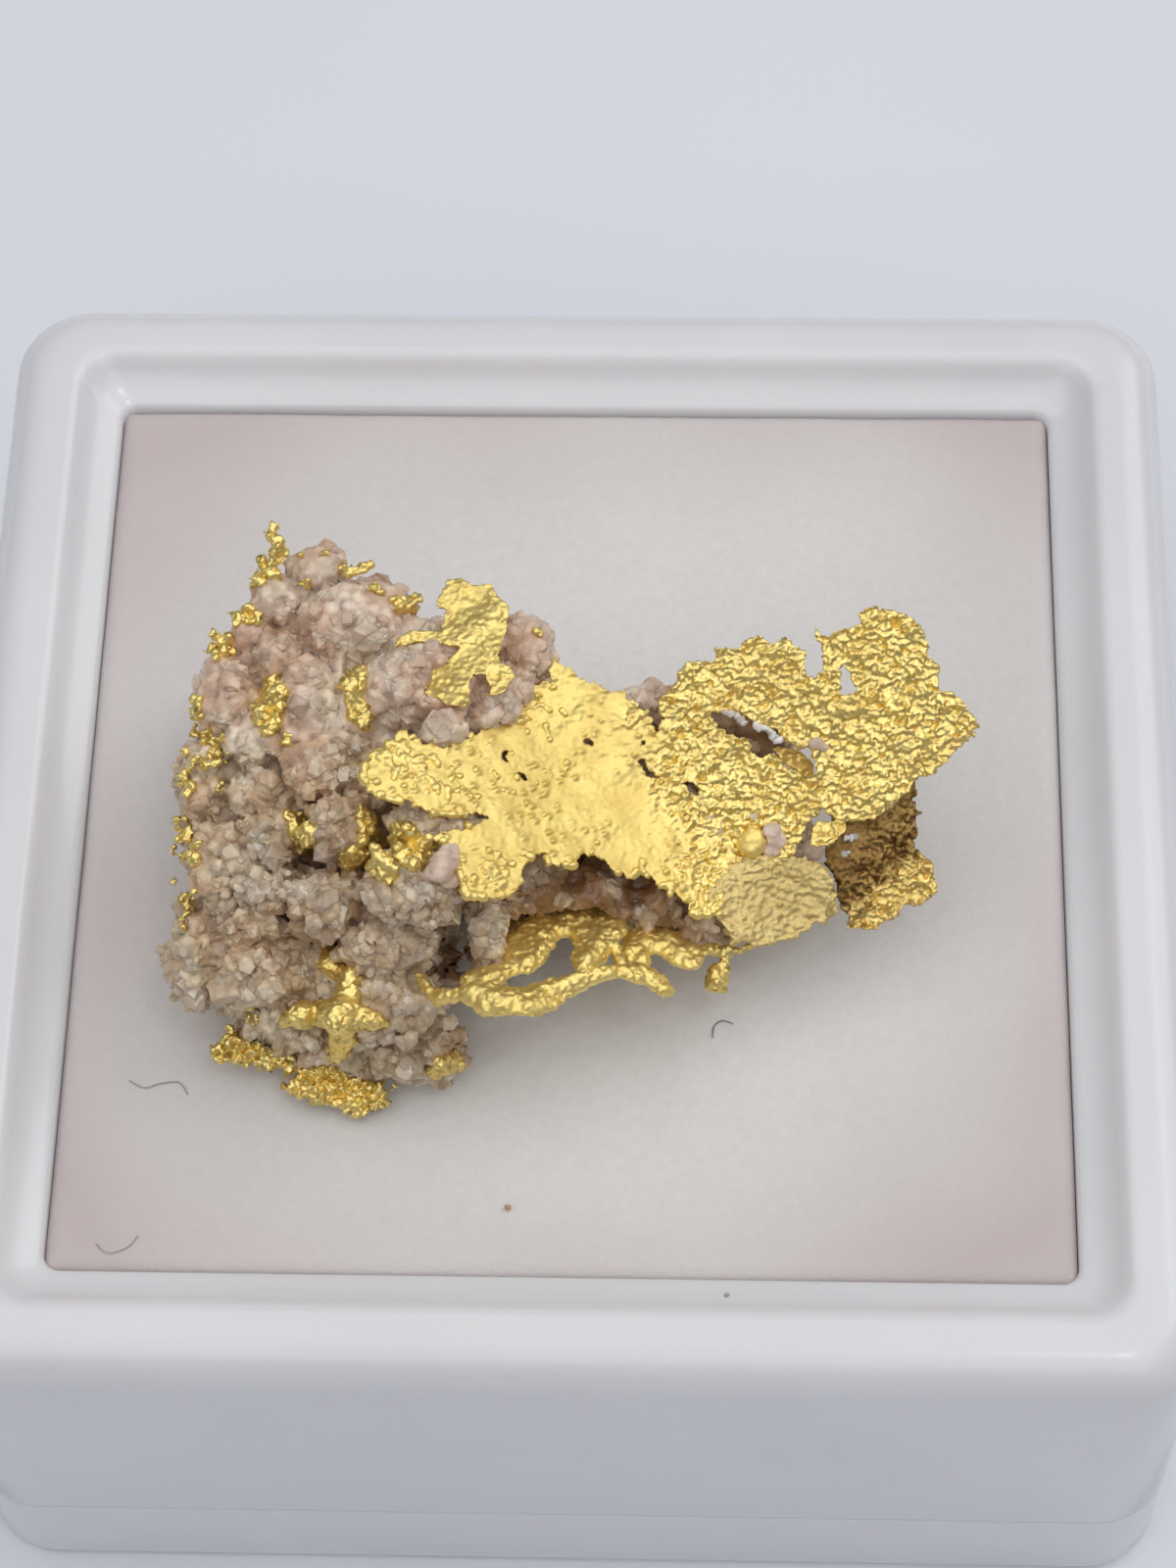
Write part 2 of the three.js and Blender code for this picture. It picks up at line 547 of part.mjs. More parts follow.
const STAR_ARMS = [
  [[-7.2, -7.3, 0.42], [-7.9, -7.3, 0.34], [-8.4, -7.25, 0.3], [-9.05, -7.5, 0.14]],
  [[-7.2, -7.3, 0.42], [-6.6, -7.4, 0.28], [-6.0, -7.55, 0.12]],
  [[-7.2, -7.3, 0.42], [-7.15, -6.5, 0.26], [-7.3, -5.85, 0.26], [-7.7, -5.5, 0.26], [-7.75, -5.05, 0.14]],
  [[-7.2, -7.3, 0.42], [-7.2, -7.9, 0.3], [-7.3, -8.5, 0.16]],
];

const BASE_LEAF_LEFT = {
  outline: [[-11.3, -8.4], [-11.35, -8.9], [-10.5, -8.9], [-10.1, -9.1], [-9.4, -9.25], [-8.75, -9.05],
    [-8.6, -8.85], [-9.0, -8.6], [-9.5, -8.5], [-9.9, -8.15], [-10.2, -8.35], [-10.5, -8.1],
    [-10.85, -7.6], [-10.95, -7.95], [-10.8, -8.2]],
  height: (x, y) => 1.2 + 0.5 * (y + 9) + ripple(x, y, 0.1),
  thickness: 0.3,
};

const BASE_LEAF_RIGHT = {
  outline: [[-9.0, -10.1], [-8.9, -9.8], [-8.5, -9.5], [-8.6, -9.25], [-7.8, -9.05], [-7.3, -9.1],
    [-6.9, -9.4], [-6.2, -9.6], [-5.65, -9.9], [-5.7, -10.35], [-6.2, -10.75], [-6.7, -10.8],
    [-7.2, -10.45], [-7.7, -10.4], [-8.3, -10.1]],
  height: (x, y) => 0.85 + 0.55 * (y + 10.2) + ripple(x, y, 0.1),
  thickness: 0.32,
};

const DROP = [[4.8, -5.85, 2.8, 0.42], [4.95, -5.45, 2.95, 0.2], [5.05, -5.15, 3.05, 0.16],
  [5.15, -4.85, 3.15, 0.18], [5.3, -4.6, 3.2, 0.2]];

// Gold that stands out of the edges: each group is one piece, points [x, y, radius] on the slope
const EDGE_GOLD = {
  tuft: [[-10.4, 10.85, 0.3], [-10.4, 10.4, 0.24], [-10.35, 9.95, 0.28], [-10.6, 9.5, 0.32],
    [-10.85, 9.0, 0.28]],
  edge_gold_1: [[-11.25, 7.8, 0.2], [-11.0, 7.5, 0.24], [-11.4, 7.35, 0.24]],
  edge_gold_2: [[-12.25, 6.8, 0.16], [-11.95, 6.8, 0.24], [-11.85, 6.4, 0.26], [-12.35, 6.2, 0.24]],
  edge_gold_3: [[-12.65, 4.1, 0.24], [-12.65, 3.75, 0.2]],
  edge_ring: [[-12.7, 3.1, 0.2], [-12.35, 2.9, 0.24], [-11.95, 2.6, 0.24], [-11.8, 2.15, 0.24],
    [-12.05, 1.8, 0.24], [-12.5, 1.8, 0.22], [-12.85, 2.15, 0.2]],
  edge_gold_4: [[-12.75, 1.25, 0.24], [-12.75, 0.85, 0.22]],
  edge_gold_5: [[-12.8, -0.5, 0.22], [-12.65, -0.9, 0.26], [-12.45, -1.4, 0.28]],
  top_gold_1: [[-6.15, 8.35, 0.22], [-5.8, 8.0, 0.28], [-5.5, 8.35, 0.18]],
  top_gold_2: [[-7.95, 9.5, 0.28], [-7.5, 9.5, 0.24], [-7.2, 9.6, 0.12]],
};

// Thin gold that hugs the stone
const PATCHES = {
  patch_1: [[-10.75, 4.2], [-10.4, 4.55], [-10.3, 5.0], [-9.95, 5.0], [-9.8, 4.6], [-9.9, 4.0],
    [-9.95, 3.3], [-10.3, 3.15], [-10.6, 3.5]],
  patch_2: [[-7.95, 5.0], [-7.55, 5.2], [-7.3, 5.55], [-7.15, 5.1], [-7.3, 4.6], [-7.0, 4.0], [-6.9, 3.4],
    [-7.2, 3.3], [-7.45, 3.9], [-7.5, 4.5]],
  patch_3: [[-9.4, -0.1], [-9.1, -0.9], [-8.95, -1.45], [-8.65, -1.5], [-8.45, -0.9], [-8.5, -0.5],
    [-8.95, -0.1]],
  patch_4: [[-6.95, 0.1], [-6.65, 0.0], [-6.4, -0.8], [-6.2, -1.6], [-5.75, -2.0], [-5.8, -2.5],
    [-6.3, -2.2], [-6.8, -1.65], [-7.45, -1.95], [-7.4, -1.5], [-6.95, -1.2]],
  patch_5: [[-5.95, -0.5], [-5.4, -0.45], [-5.05, -0.95], [-4.7, -1.0], [-4.7, -1.5], [-5.1, -2.0],
    [-5.7, -1.65]],
  patch_6: [[-4.35, -9.3], [-3.95, -8.9], [-3.5, -8.6], [-3.35, -9.0], [-3.75, -9.2], [-4.15, -9.4]],
};

// A patch spans hollows narrower than this, and sinks into wider ones no deeper than this
const PATCH_REACH = 0.3;
const PATCH_SINK = 0.6;
const PATCH_FLOOR = 0.5;
const PATCH_PROUD = 0.06;

function patch(outline) {
  const near = (x, y) => Math.max(
    stoneHeight(x, y),
    stoneHeight(x - PATCH_REACH, y),
    stoneHeight(x + PATCH_REACH, y),
    stoneHeight(x, y - PATCH_REACH),
    slopeAt(y) - PATCH_SINK,
    PATCH_FLOOR,
  ) + PATCH_PROUD;
  return leaf({ outline, height: near, thickness: PATCH_THICKNESS, cell: PATCH_CELL });
}

const ropeOnStone = (points, grow) => rope(
  points.map(([x, y, radius]) => [x, y, stoneHeight(x, y) + 0.3 * radius, radius]),
  grow,
);

// How far the grains stand out of the stone, and how far from the slope a group may lie
const GRAIN_PROUD = 0.1;
const GRAIN_LOWEST = -0.3;
const GRAIN_HIGHEST = 0.9;

// A group of grains on the slope, raised together where the stone would bury them
function onSlope(points) {
  const over = points.map(([x, y]) => stoneHeight(x, y) + GRAIN_PROUD - slopeAt(y));
  const lift = THREE.MathUtils.clamp(Math.max(...over), GRAIN_LOWEST, GRAIN_HIGHEST);
  return points.map(([x, y, radius]) => [x, y, slopeAt(y) + lift, radius]);
}

// Gold first: each piece has its own solid and the room that the stone leaves for it
const LEAVES = {
  main_leaf: [MAIN_LEAF, YELLOW_GOLD],
  olive_leaf: [OLIVE_LEAF, OLIVE_GOLD],
  shaded_leaf: [SHADED_LEAF, SHADED_GOLD],
  flag_leaf: [FLAG_LEAF, YELLOW_GOLD],
  front_leaf: [FRONT_LEAF, YELLOW_GOLD],
  side_leaf: [SIDE_LEAF, YELLOW_GOLD],
  base_leaf_left: [BASE_LEAF_LEFT, YELLOW_GOLD],
  base_leaf_right: [BASE_LEAF_RIGHT, YELLOW_GOLD],
};

const rooms = [];
const gold = [];

for (const [name, [shape, material]] of Object.entries(LEAVES)) {
  const { sheet, room } = leaf(shape);
  gold.push([name, sheet, material]);
  rooms.push(room);
}
for (const [name, outline] of Object.entries(PATCHES)) {
  const { sheet, room } = patch(outline);
  gold.push([name, sheet, YELLOW_GOLD]);
  rooms.push(room);
}

gold.push(['low_rope', geometryOf(rope(LOW_ROPE)), YELLOW_GOLD]);
rooms.push(rope(LOW_ROPE, GAP));

const starWith = (grow) => STAR_ARMS.map((arm) => ropeOnStone(arm, grow)).reduce((a, b) => a.add(b));
gold.push(['star', mainShell(geometryOf(starWith(0))), YELLOW_GOLD]);
rooms.push(starWith(GAP));

gold.push(['drop', mainShell(geometryOf(grains(DROP))), YELLOW_GOLD]);
rooms.push(grains(DROP, GAP));

for (const [name, points] of Object.entries(EDGE_GOLD)) {
  gold.push([name, mainShell(geometryOf(grains(onSlope(points)))), YELLOW_GOLD]);
  rooms.push(grains(onSlope(points), GAP));
}

// Quartz: the lumps and their crystals are one stone, flat where it rests on the pad
function quartz() {
  let stone = lumps().map((each, i) => lump(each, i)).reduce((all, one) => all.add(one));
  lumps().forEach((each, i) => {
    if (i % CRYSTAL_EVERY === 0) stone = stone.add(crystalOn(each, i));
  });
  const pit = layer(PIT.outline, () => PIT.floor, () => STONE_TOP, LEAF_CELL).intersect(prism(PIT.outline, []));
  stone = stone.subtract(solidOf(lifted(pit)));
  for (const room of rooms) stone = stone.subtract(room);
  const below = new THREE.BoxGeometry(BOX_SIDE, BOX_SIDE, STONE_TOP);
  below.translate(0, 0, -0.5 * STONE_TOP);
  return mainShell(geometryOf(stone.subtract(solidOf(below))));
}

addPiece('box_tray', tray(), WHITE_PLASTIC);
addPiece('box_base', base(), WHITE_PLASTIC);
addPiece('pad', pad(), PAD_FOAM);
addPiece('matrix', quartz().translate(0, 0, PAD_TOP), QUARTZ);
for (const [name, geometry, material] of gold) {
  addPiece(name, geometry.translate(0, 0, PAD_TOP), material);
}

export default specimen;
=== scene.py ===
# %% [markdown]
# # Leaf gold on quartz, in a small display box
#
# The object is a thumbnail mineral specimen. A crust of quartz carries leaves and grains of
# native gold, and it rests on the foam pad of a small white plastic box. The solids of the
# frame give every piece its size and place. Here each of them is built again with the detail
# that shows up close: crumpled foil, sugary crystals, moulded plastic and felted foam.
#
# The frame is loaded first, and its solids are kept.

import math
import random

import bmesh
import bpy
from mathutils import Euler, Matrix, Vector, noise
from mathutils.bvhtree import BVHTree
from mathutils.kdtree import KDTree


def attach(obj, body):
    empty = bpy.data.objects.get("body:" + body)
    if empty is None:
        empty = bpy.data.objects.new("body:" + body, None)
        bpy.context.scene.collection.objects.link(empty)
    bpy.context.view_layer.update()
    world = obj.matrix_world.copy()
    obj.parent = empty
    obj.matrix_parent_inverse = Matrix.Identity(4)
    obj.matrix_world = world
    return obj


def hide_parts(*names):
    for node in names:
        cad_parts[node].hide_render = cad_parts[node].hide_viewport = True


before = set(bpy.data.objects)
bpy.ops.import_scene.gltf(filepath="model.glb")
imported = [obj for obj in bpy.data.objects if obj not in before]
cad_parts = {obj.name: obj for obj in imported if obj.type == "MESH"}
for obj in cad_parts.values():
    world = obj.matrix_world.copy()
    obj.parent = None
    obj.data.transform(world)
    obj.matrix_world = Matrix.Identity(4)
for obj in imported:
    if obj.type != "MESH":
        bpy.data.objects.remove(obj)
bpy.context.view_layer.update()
# Vector noise starts from the clock unless it has a seed, and then no two runs are alike.
NOISE_SEED = 11
noise.seed_set(NOISE_SEED)
print("frame nodes:", len(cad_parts))

# %% [markdown]
# ## Millimetres and lines of sight
#
# The specimen is a few centimetres long, so its pieces are modelled in millimetres above the
# top of the pad and scaled to metres at the very end. A flat leaf is easiest to draw as it is
# seen from above and in front. So a leaf's outline is a list of points on the pad's top, and
# each point is then lifted towards the eye until it is at the leaf's height. Seen from the
# eye the outline stays as drawn, and seen from any other side the leaf has its true place.
# Most of the specimen's face lies on one slope that rises to the back.

# %% Measures and the line of sight
PAD_TOP = 16.8
TO_METRES = 0.001
EYE = Vector((4.52, -61.8, 115.57))
SLOPE_HEIGHT = 5.4
SLOPE_RISE = 0.45


def lift(x, y, z):
    """The point at height z that the eye sees over (x, y) on the pad."""
    along = z / EYE.z
    return Vector((x + (EYE.x - x) * along, y + (EYE.y - y) * along, z))


def seen(point):
    """Where the eye sees this point against the top of the pad."""
    along = point.z / EYE.z
    return (point.x - EYE.x * along) / (1 - along), (point.y - EYE.y * along) / (1 - along)


def slope_at(y):
    return SLOPE_HEIGHT + SLOPE_RISE * y


print("a point 5 mm up is seen at", [round(v, 3) for v in seen(lift(1, 2, 5))])

# %% [markdown]
# ## Small tools
#
# A handful of short functions is used all through the script. They keep a number between two
# others, give a smooth wandering number for uneven tones and heights, build a search tree,
# turn a working mesh into a real one, and put an object into the scene.

# %% Small tools


def clamp(value, low=0.0, high=1.0):
    return min(high, max(low, value))


def wander(x, y, pitch, layer):
    """A smooth number from about -1 to 1. A larger pitch makes it change faster."""
    return noise.noise(Vector((x * pitch, y * pitch, layer)))


def search_tree(points):
    tree = KDTree(len(points))
    for i, point in enumerate(points):
        tree.insert(point, i)
    tree.balance()
    return tree


def placed(centre, radii=(1, 1, 1), turn=Matrix.Identity(4)):
    """The matrix that makes a unit ball an uneven one, turns it and moves it to its centre."""
    return Matrix.Translation(centre) @ turn @ Matrix.Diagonal((*radii, 1))


def soften(bm, verts, times=1):
    for _ in range(times):
        bmesh.ops.smooth_vert(bm, verts=verts, factor=0.5, use_axis_x=True, use_axis_y=True, use_axis_z=True)


def mesh_from(name, bm):
    mesh = bpy.data.meshes.new(name)
    bm.to_mesh(mesh)
    bm.free()
    return mesh


def new_object(name, data):
    thing = bpy.data.objects.new(name, data)
    bpy.context.scene.collection.objects.link(thing)
    return thing


print("wander gives", round(wander(1, 2, 0.5, 3.0), 3), "at one place")

# %% [markdown]
# ## Camera
#
# The eye is 131 mm from the middle of the pad and looks steeply down. A long lens fits the
# box into the view from there. The camera's axes are worked out from its yaw, its tilt and a
# small roll, because its view doesn't run through the middle of the pad.

# %% Camera
YAW = math.radians(-3.65)
TILT = math.radians(61.33)
ROLL = math.radians(-2.62)
SENSOR_HEIGHT = 36
FOCAL_LENGTH = 91.24

forward = Vector((math.sin(YAW) * math.cos(TILT), math.cos(YAW) * math.cos(TILT), -math.sin(TILT)))
level = Vector((math.cos(YAW), -math.sin(YAW), 0))
upward = level.cross(forward)
right = level * math.cos(ROLL) + upward * math.sin(ROLL)
upward = upward * math.cos(ROLL) - level * math.sin(ROLL)

camera_data = bpy.data.cameras.new("camera")
camera_data.sensor_fit = "VERTICAL"
camera_data.sensor_height = SENSOR_HEIGHT
camera_data.lens = FOCAL_LENGTH
camera_data.clip_start = 0.005
camera_data.clip_end = 5
camera = new_object("camera", camera_data)
axes = Matrix((right, upward, -forward)).transposed().to_4x4()
camera.matrix_world = Matrix.Translation((EYE + Vector((0, 0, PAD_TOP))) * TO_METRES) @ axes
bpy.context.scene.camera = camera
print("camera at", [round(v, 4) for v in camera.matrix_world.translation])

# %% [markdown]
# ## Tools for materials
#
# Colours are written as the hex values that a picture editor shows, and one function turns
# them into the linear values that the renderer works in. A second function adds a node, sets
# its values, links its sockets and gives a colour ramp its stops, so that a material reads as
# a short list. An input is named by its words, or by a number after an underscore.

# %% Colour and node helpers


def linear(hex_colour):
    channels = [int(hex_colour[i:i + 2], 16) / 255 for i in (1, 3, 5)]
    return tuple(c / 12.92 if c <= 0.04045 else ((c + 0.055) / 1.055) ** 2.4 for c in channels) + (1,)


def add_node(material, kind, settings=None, stops=(), **inputs):
    tree = material.node_tree
    node = tree.nodes.new(kind)
    for name, value in (settings or {}).items():
        setattr(node, name, value)
    for _ in stops[2:]:
        node.color_ramp.elements.new(0.5)
    for element, (position, colour) in zip(node.color_ramp.elements if stops else (), stops):
        element.position = position
        element.color = linear(colour)
    for name, value in inputs.items():
        socket = node.inputs[int(name[1:])] if name[1:].isdigit() else node.inputs[name.replace("_", " ")]
        if isinstance(value, bpy.types.NodeSocket):
            tree.links.new(value, socket)
        else:
            socket.default_value = value
    return node


def new_material(name):
    material = bpy.data.materials.new(name)
    material.use_nodes = True
    material.node_tree.nodes.clear()
    return material


def finish_material(material, shader):
    add_node(material, "ShaderNodeOutputMaterial", Surface=shader.outputs[0])
    return material


def per_mm(size):
    """The scale of a pattern whose features are this many millimetres wide."""
    return 1000 / size


print("white is", linear("#FFFFFF"), "and a pattern of 4 mm has a scale of", per_mm(4))

# %% [markdown]
# ## The box's plastic
#
# The box is injection-moulded polystyrene, opaque white and glossy. Its index of refraction
# is 1.59. The mould leaves a very slight waviness, which shows as soft changes in the
# reflections, and light gets a little way into the plastic, so its shadows are soft.

# %% Material: moulded polystyrene


def moulded_polystyrene():
    m = new_material("moulded_polystyrene")
    where = add_node(m, "ShaderNodeTexCoord").outputs["Object"]
    waves = add_node(m, "ShaderNodeTexNoise", Vector=where, Scale=per_mm(4), Detail=1.0)
    bump = add_node(m, "ShaderNodeBump", Height=waves.outputs["Fac"], Strength=0.06, Distance=0.0004)
    handled = add_node(m, "ShaderNodeTexNoise", Vector=where, Scale=per_mm(9), Detail=3.0)
    gloss = add_node(m, "ShaderNodeMapRange", Value=handled.outputs["Fac"], To_Min=0.14, To_Max=0.26)
    tone = add_node(
        m, "ShaderNodeValToRGB", stops=[(0.35, "#E5E6EA"), (0.7, "#E9EAEE")], Fac=handled.outputs["Fac"],
    )
    shader = add_node(
        m, "ShaderNodeBsdfPrincipled", Base_Color=tone.outputs["Color"], Roughness=gloss.outputs["Result"],
        IOR=1.59, Subsurface_Weight=0.15, Subsurface_Scale=0.001, Normal=bump.outputs["Normal"],
    )
    return finish_material(m, shader)


white_plastic = moulded_polystyrene()
print("made", white_plastic.name)

# %% [markdown]
# ## The pad's foam
#
# The pad is a thin felted polyethylene foam, pale grey and matt. Its face is a fine paper-like
# grain about 0.3 mm across, a little uneven in tone. A number painted on its vertices,
# "margin", is painted shade: it makes the foam darker and pinker towards its edges, where the
# rim shades it. It gets a weak sheen, because fine fibres catch the light at a flat angle.

# %% Material: felted foam


def felted_foam():
    m = new_material("felted_foam")
    where = add_node(m, "ShaderNodeTexCoord").outputs["Object"]
    grain = add_node(m, "ShaderNodeTexNoise", Vector=where, Scale=per_mm(0.32), Detail=3.0, Roughness=0.6)
    cloudy = add_node(m, "ShaderNodeTexNoise", Vector=where, Scale=per_mm(5), Detail=2.0)
    mixed = add_node(
        m, "ShaderNodeMix", {"data_type": "FLOAT"}, _0=0.35, _2=grain.outputs["Fac"],
        _3=cloudy.outputs["Fac"],
    )
    tone = add_node(
        m, "ShaderNodeValToRGB", stops=[(0.3, "#E6E7E5"), (0.7, "#F1F2F1")], Fac=mixed.outputs[0],
    )
    # Painted shade: this number makes the foam darker and pinker towards its edges, where the rim shades it.
    margin = add_node(m, "ShaderNodeAttribute", {"attribute_name": "margin"}).outputs["Fac"]
    edge_shaded = add_node(
        m, "ShaderNodeMix", {"data_type": "RGBA"}, _0=margin, _6=tone.outputs["Color"],
        _7=linear("#CBC0BF"),
    )
    bump = add_node(m, "ShaderNodeBump", Height=grain.outputs["Fac"], Strength=0.4, Distance=0.0001)
    shader = add_node(
        m, "ShaderNodeBsdfPrincipled", Base_Color=edge_shaded.outputs[2], Roughness=0.95, Sheen_Weight=0.1,
        Normal=bump.outputs["Normal"],
    )
    return finish_material(m, shader)


pad_foam = felted_foam()
print("made", pad_foam.name)

# %% [markdown]
# ## The quartz
#
# The stone is milky quartz, index 1.54, stained pink-beige, greenish grey and, in the middle,
# ochre by iron. It is glassy on its faces and cloudy inside, so light scatters through the
# edges of the small crystals. The colour drifts over a few millimetres, and cells of 0.42 mm
# stand for the grains. Three numbers painted on the vertices do the rest: one is painted shade
# that darkens the crevices, one is the share of iron stain, and of painted shade in the hollow
# under the large leaf and in the pit, and one makes the places that are covered with crystals
# a little greener. The druse, the white bits and the pink films have tones of their own.

# %% Material: milky quartz
TONE_STOPS = (0.32, 0.44, 0.56, 0.68)
STONE_TONES = ["#EBCBB2", "#F8DDC6", "#FFEFDD", "#FAECD4"]
DRUSE_TONES = ["#F2D6B2", "#FBE6C8", "#FFF5E4", "#F7E1C0"]
BLUSH_TONES = ["#E6CDBE", "#EDD5C5", "#F3E0CF", "#EEDCC4"]
WHITE_TONES = ["#F6F4F2", "#FBFAF8", "#FFFFFF", "#F8F7F3"]


def milky_quartz(name, tones, glow, bump_height=0.08):
    m = new_material(name)
    where = add_node(m, "ShaderNodeTexCoord").outputs["Object"]
    drift = add_node(m, "ShaderNodeTexNoise", Vector=where, Scale=per_mm(2.6), Detail=3.0, Roughness=0.6)
    body = add_node(m, "ShaderNodeValToRGB", stops=list(zip(TONE_STOPS, tones)), Fac=drift.outputs["Fac"])
    grain = add_node(m, "ShaderNodeTexVoronoi", Vector=where, Scale=per_mm(0.42), Randomness=1.0)
    speckle = add_node(
        m, "ShaderNodeValToRGB", stops=[(0.0, "#FFFFFF"), (0.38, "#E6DDD4"), (0.6, "#BFAE9F")],
        Fac=grain.outputs["Distance"],
    )
    grained = add_node(
        m, "ShaderNodeMix", {"data_type": "RGBA", "blend_type": "MULTIPLY"}, _0=0.6,
        _6=body.outputs["Color"], _7=speckle.outputs["Color"],
    )
    surface = grained
    # The first number greens the crystal-covered places. The second adds iron stain and, under the large leaf
    # and in the pit, painted shade. The third is painted shade in the crevices.
    for painted, blend, tint in (
        ("sugar", "MULTIPLY", "#F3F4E6"), ("stain_and_shade", "MIX", "#8F6A45"), ("hollow", "MIX", "#5F4536"),
    ):
        share = add_node(m, "ShaderNodeAttribute", {"attribute_name": painted}).outputs["Fac"]
        surface = add_node(
            m, "ShaderNodeMix", {"data_type": "RGBA", "blend_type": blend}, _0=share,
            _6=surface.outputs[2], _7=linear(tint),
        )
    fine = add_node(m, "ShaderNodeTexNoise", Vector=where, Scale=per_mm(0.2), Detail=4.0)
    bump = add_node(
        m, "ShaderNodeBump", Height=fine.outputs["Fac"], Strength=0.7, Distance=bump_height * TO_METRES,
    )
    wet = add_node(m, "ShaderNodeMapRange", Value=fine.outputs["Fac"], To_Min=0.1, To_Max=0.42)
    shader = add_node(
        m, "ShaderNodeBsdfPrincipled", Base_Color=surface.outputs[2], Roughness=wet.outputs["Result"],
        IOR=1.54, Subsurface_Weight=glow, Subsurface_Radius=(1.0, 0.75, 0.55), Subsurface_Scale=0.0002,
        Normal=bump.outputs["Normal"],
    )
    return finish_material(m, shader)


stone_quartz = milky_quartz("milky_quartz_stone", STONE_TONES, 0.35)
druse_quartz = milky_quartz("milky_quartz_druse", DRUSE_TONES, 0.3, 0.03)
white_quartz = milky_quartz("milky_quartz_white", WHITE_TONES, 0.3, 0.02)
blush_quartz = milky_quartz("milky_quartz_blush", BLUSH_TONES, 0.4)
print("made", [m.name for m in (stone_quartz, druse_quartz, white_quartz, blush_quartz)])

# %% [markdown]
# ## The gold
#
# Native gold of high purity, with a satin skin where it grew against the quartz and bright
# points where grains and folds catch the light. Metallic is 1, the index is the default one
# and roughness is low. "hollow" makes the bottoms of the folds a deep ochre, where the metal
# reflects itself. A bump gives the hackly skin that is too fine for the mesh. The real grain
# is too fine to show in the render, so it is drawn 0.14 to 0.2 mm wide. A painted number,
# "satin", makes the skin calmer and duller where it is 1.

# %% Materials: native gold


def native_gold(name, bright, deep, rough):
    m = new_material(name)
    where = add_node(m, "ShaderNodeTexCoord").outputs["Object"]
    fine = add_node(m, "ShaderNodeTexNoise", Vector=where, Scale=per_mm(0.14), Detail=3.0)
    cells = add_node(m, "ShaderNodeTexVoronoi", Vector=where, Scale=per_mm(0.2), Randomness=1.0)
    both = add_node(
        m, "ShaderNodeMix", {"data_type": "FLOAT"}, _0=0.5, _2=fine.outputs["Fac"],
        _3=cells.outputs["Distance"],
    )
    satin = add_node(m, "ShaderNodeAttribute", {"attribute_name": "satin"}).outputs["Fac"]
    relief = add_node(m, "ShaderNodeMapRange", Value=satin, To_Min=0.75, To_Max=0.2)
    bump = add_node(
        m, "ShaderNodeBump", Height=both.outputs[0], Strength=relief.outputs["Result"], Distance=0.00008,
    )
    patchy = add_node(m, "ShaderNodeTexNoise", Vector=where, Scale=per_mm(1.4), Detail=2.0)
    skin = add_node(
        m, "ShaderNodeMapRange", Value=patchy.outputs["Fac"], To_Min=rough - 0.08, To_Max=rough + 0.12,
    )
    frosted = add_node(
        m, "ShaderNodeMath", {"operation": "MULTIPLY_ADD"}, _0=satin, _1=0.18, _2=skin.outputs["Result"],
    )
    hollow = add_node(m, "ShaderNodeAttribute", {"attribute_name": "hollow"}).outputs["Fac"]
    tint = add_node(m, "ShaderNodeMapRange", Value=patchy.outputs["Fac"], From_Min=0.45, To_Max=0.25)
    share = add_node(
        m, "ShaderNodeMath", {"operation": "ADD", "use_clamp": True}, _0=hollow, _1=tint.outputs["Result"],
    )
    tone = add_node(
        m, "ShaderNodeMix", {"data_type": "RGBA"}, _0=share.outputs[0], _6=linear(bright), _7=linear(deep),
    )
    shader = add_node(
        m, "ShaderNodeBsdfPrincipled", Base_Color=tone.outputs[2], Metallic=1.0,
        Roughness=frosted.outputs[0], Normal=bump.outputs["Normal"],
    )
    return finish_material(m, shader)


yellow_gold = native_gold("native_gold_bright", "#FFE894", "#C9963A", 0.36)
# Painted shade: a duller, olive copy of the gold for the leaf that bends down and away from the light.
olive_gold = native_gold("native_gold_olive_shade", "#EAD596", "#A08646", 0.5)
shaded_gold = native_gold("native_gold_shaded", "#FFE18C", "#7A5832", 0.4)
print("made", yellow_gold.name, olive_gold.name, shaded_gold.name)

# %% [markdown]
# ## From a working mesh to a piece
#
# Every piece ends the same way. Its mesh is moved to its place in metres, it gets a material
# and a smooth finish that keeps sharp edges, it rides on the one body, and it takes over from
# the solid that it stands for. A number can be painted on its vertices for the materials.

# %% Finish a piece


def finish_piece(name, bm, material, replaces=(), painted=None, sharp=None):
    """painted holds a list of numbers, one for each vertex, for each attribute that it names.

    sharp is the angle in degrees past which an edge stays sharp. Without it, none does.
    """
    bmesh.ops.transform(bm, matrix=Matrix.Translation((0, 0, PAD_TOP)), verts=bm.verts)
    bmesh.ops.scale(bm, vec=(TO_METRES, TO_METRES, TO_METRES), verts=bm.verts)
    mesh = mesh_from(name, bm)
    mesh.materials.append(material)
    mesh.shade_smooth()
    if sharp:
        mesh.set_sharp_from_angle(angle=math.radians(sharp))
    for title, numbers in (painted or {}).items():
        mesh.attributes.new(title, "FLOAT", "POINT").data.foreach_set("value", numbers)
    piece = new_object(name, mesh)
    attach(piece, "root")
    if replaces:
        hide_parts(*replaces)
    mesh.calc_loop_triangles()
    print(name, len(mesh.loop_triangles), "triangles")
    return piece


def cavities(bm, passes, gain, least=0.0):
    """For each vertex, how far it lies below a smoothed copy of the mesh, from 0 to 1."""
    bm.normal_update()
    soft = bm.copy()
    soften(soft, soft.verts, passes)
    depths = [least + gain * (calm.co - vert.co).dot(vert.normal) for vert, calm in zip(bm.verts, soft.verts)]
    soft.free()
    return [clamp(depth) for depth in depths]


print("ready to finish pieces at", PAD_TOP, "mm above the table")

# %% [markdown]
# ## Box: a profile carried round a square
#
# The tray and the base are mouldings with the same section all the way round. The section is
# spun in a circle with the spin operator. Then each turn of it is moved from the circle to a
# square with rounded corners: the steps of a quarter turn all go to one corner, and the long
# faces between the corners stay flat.

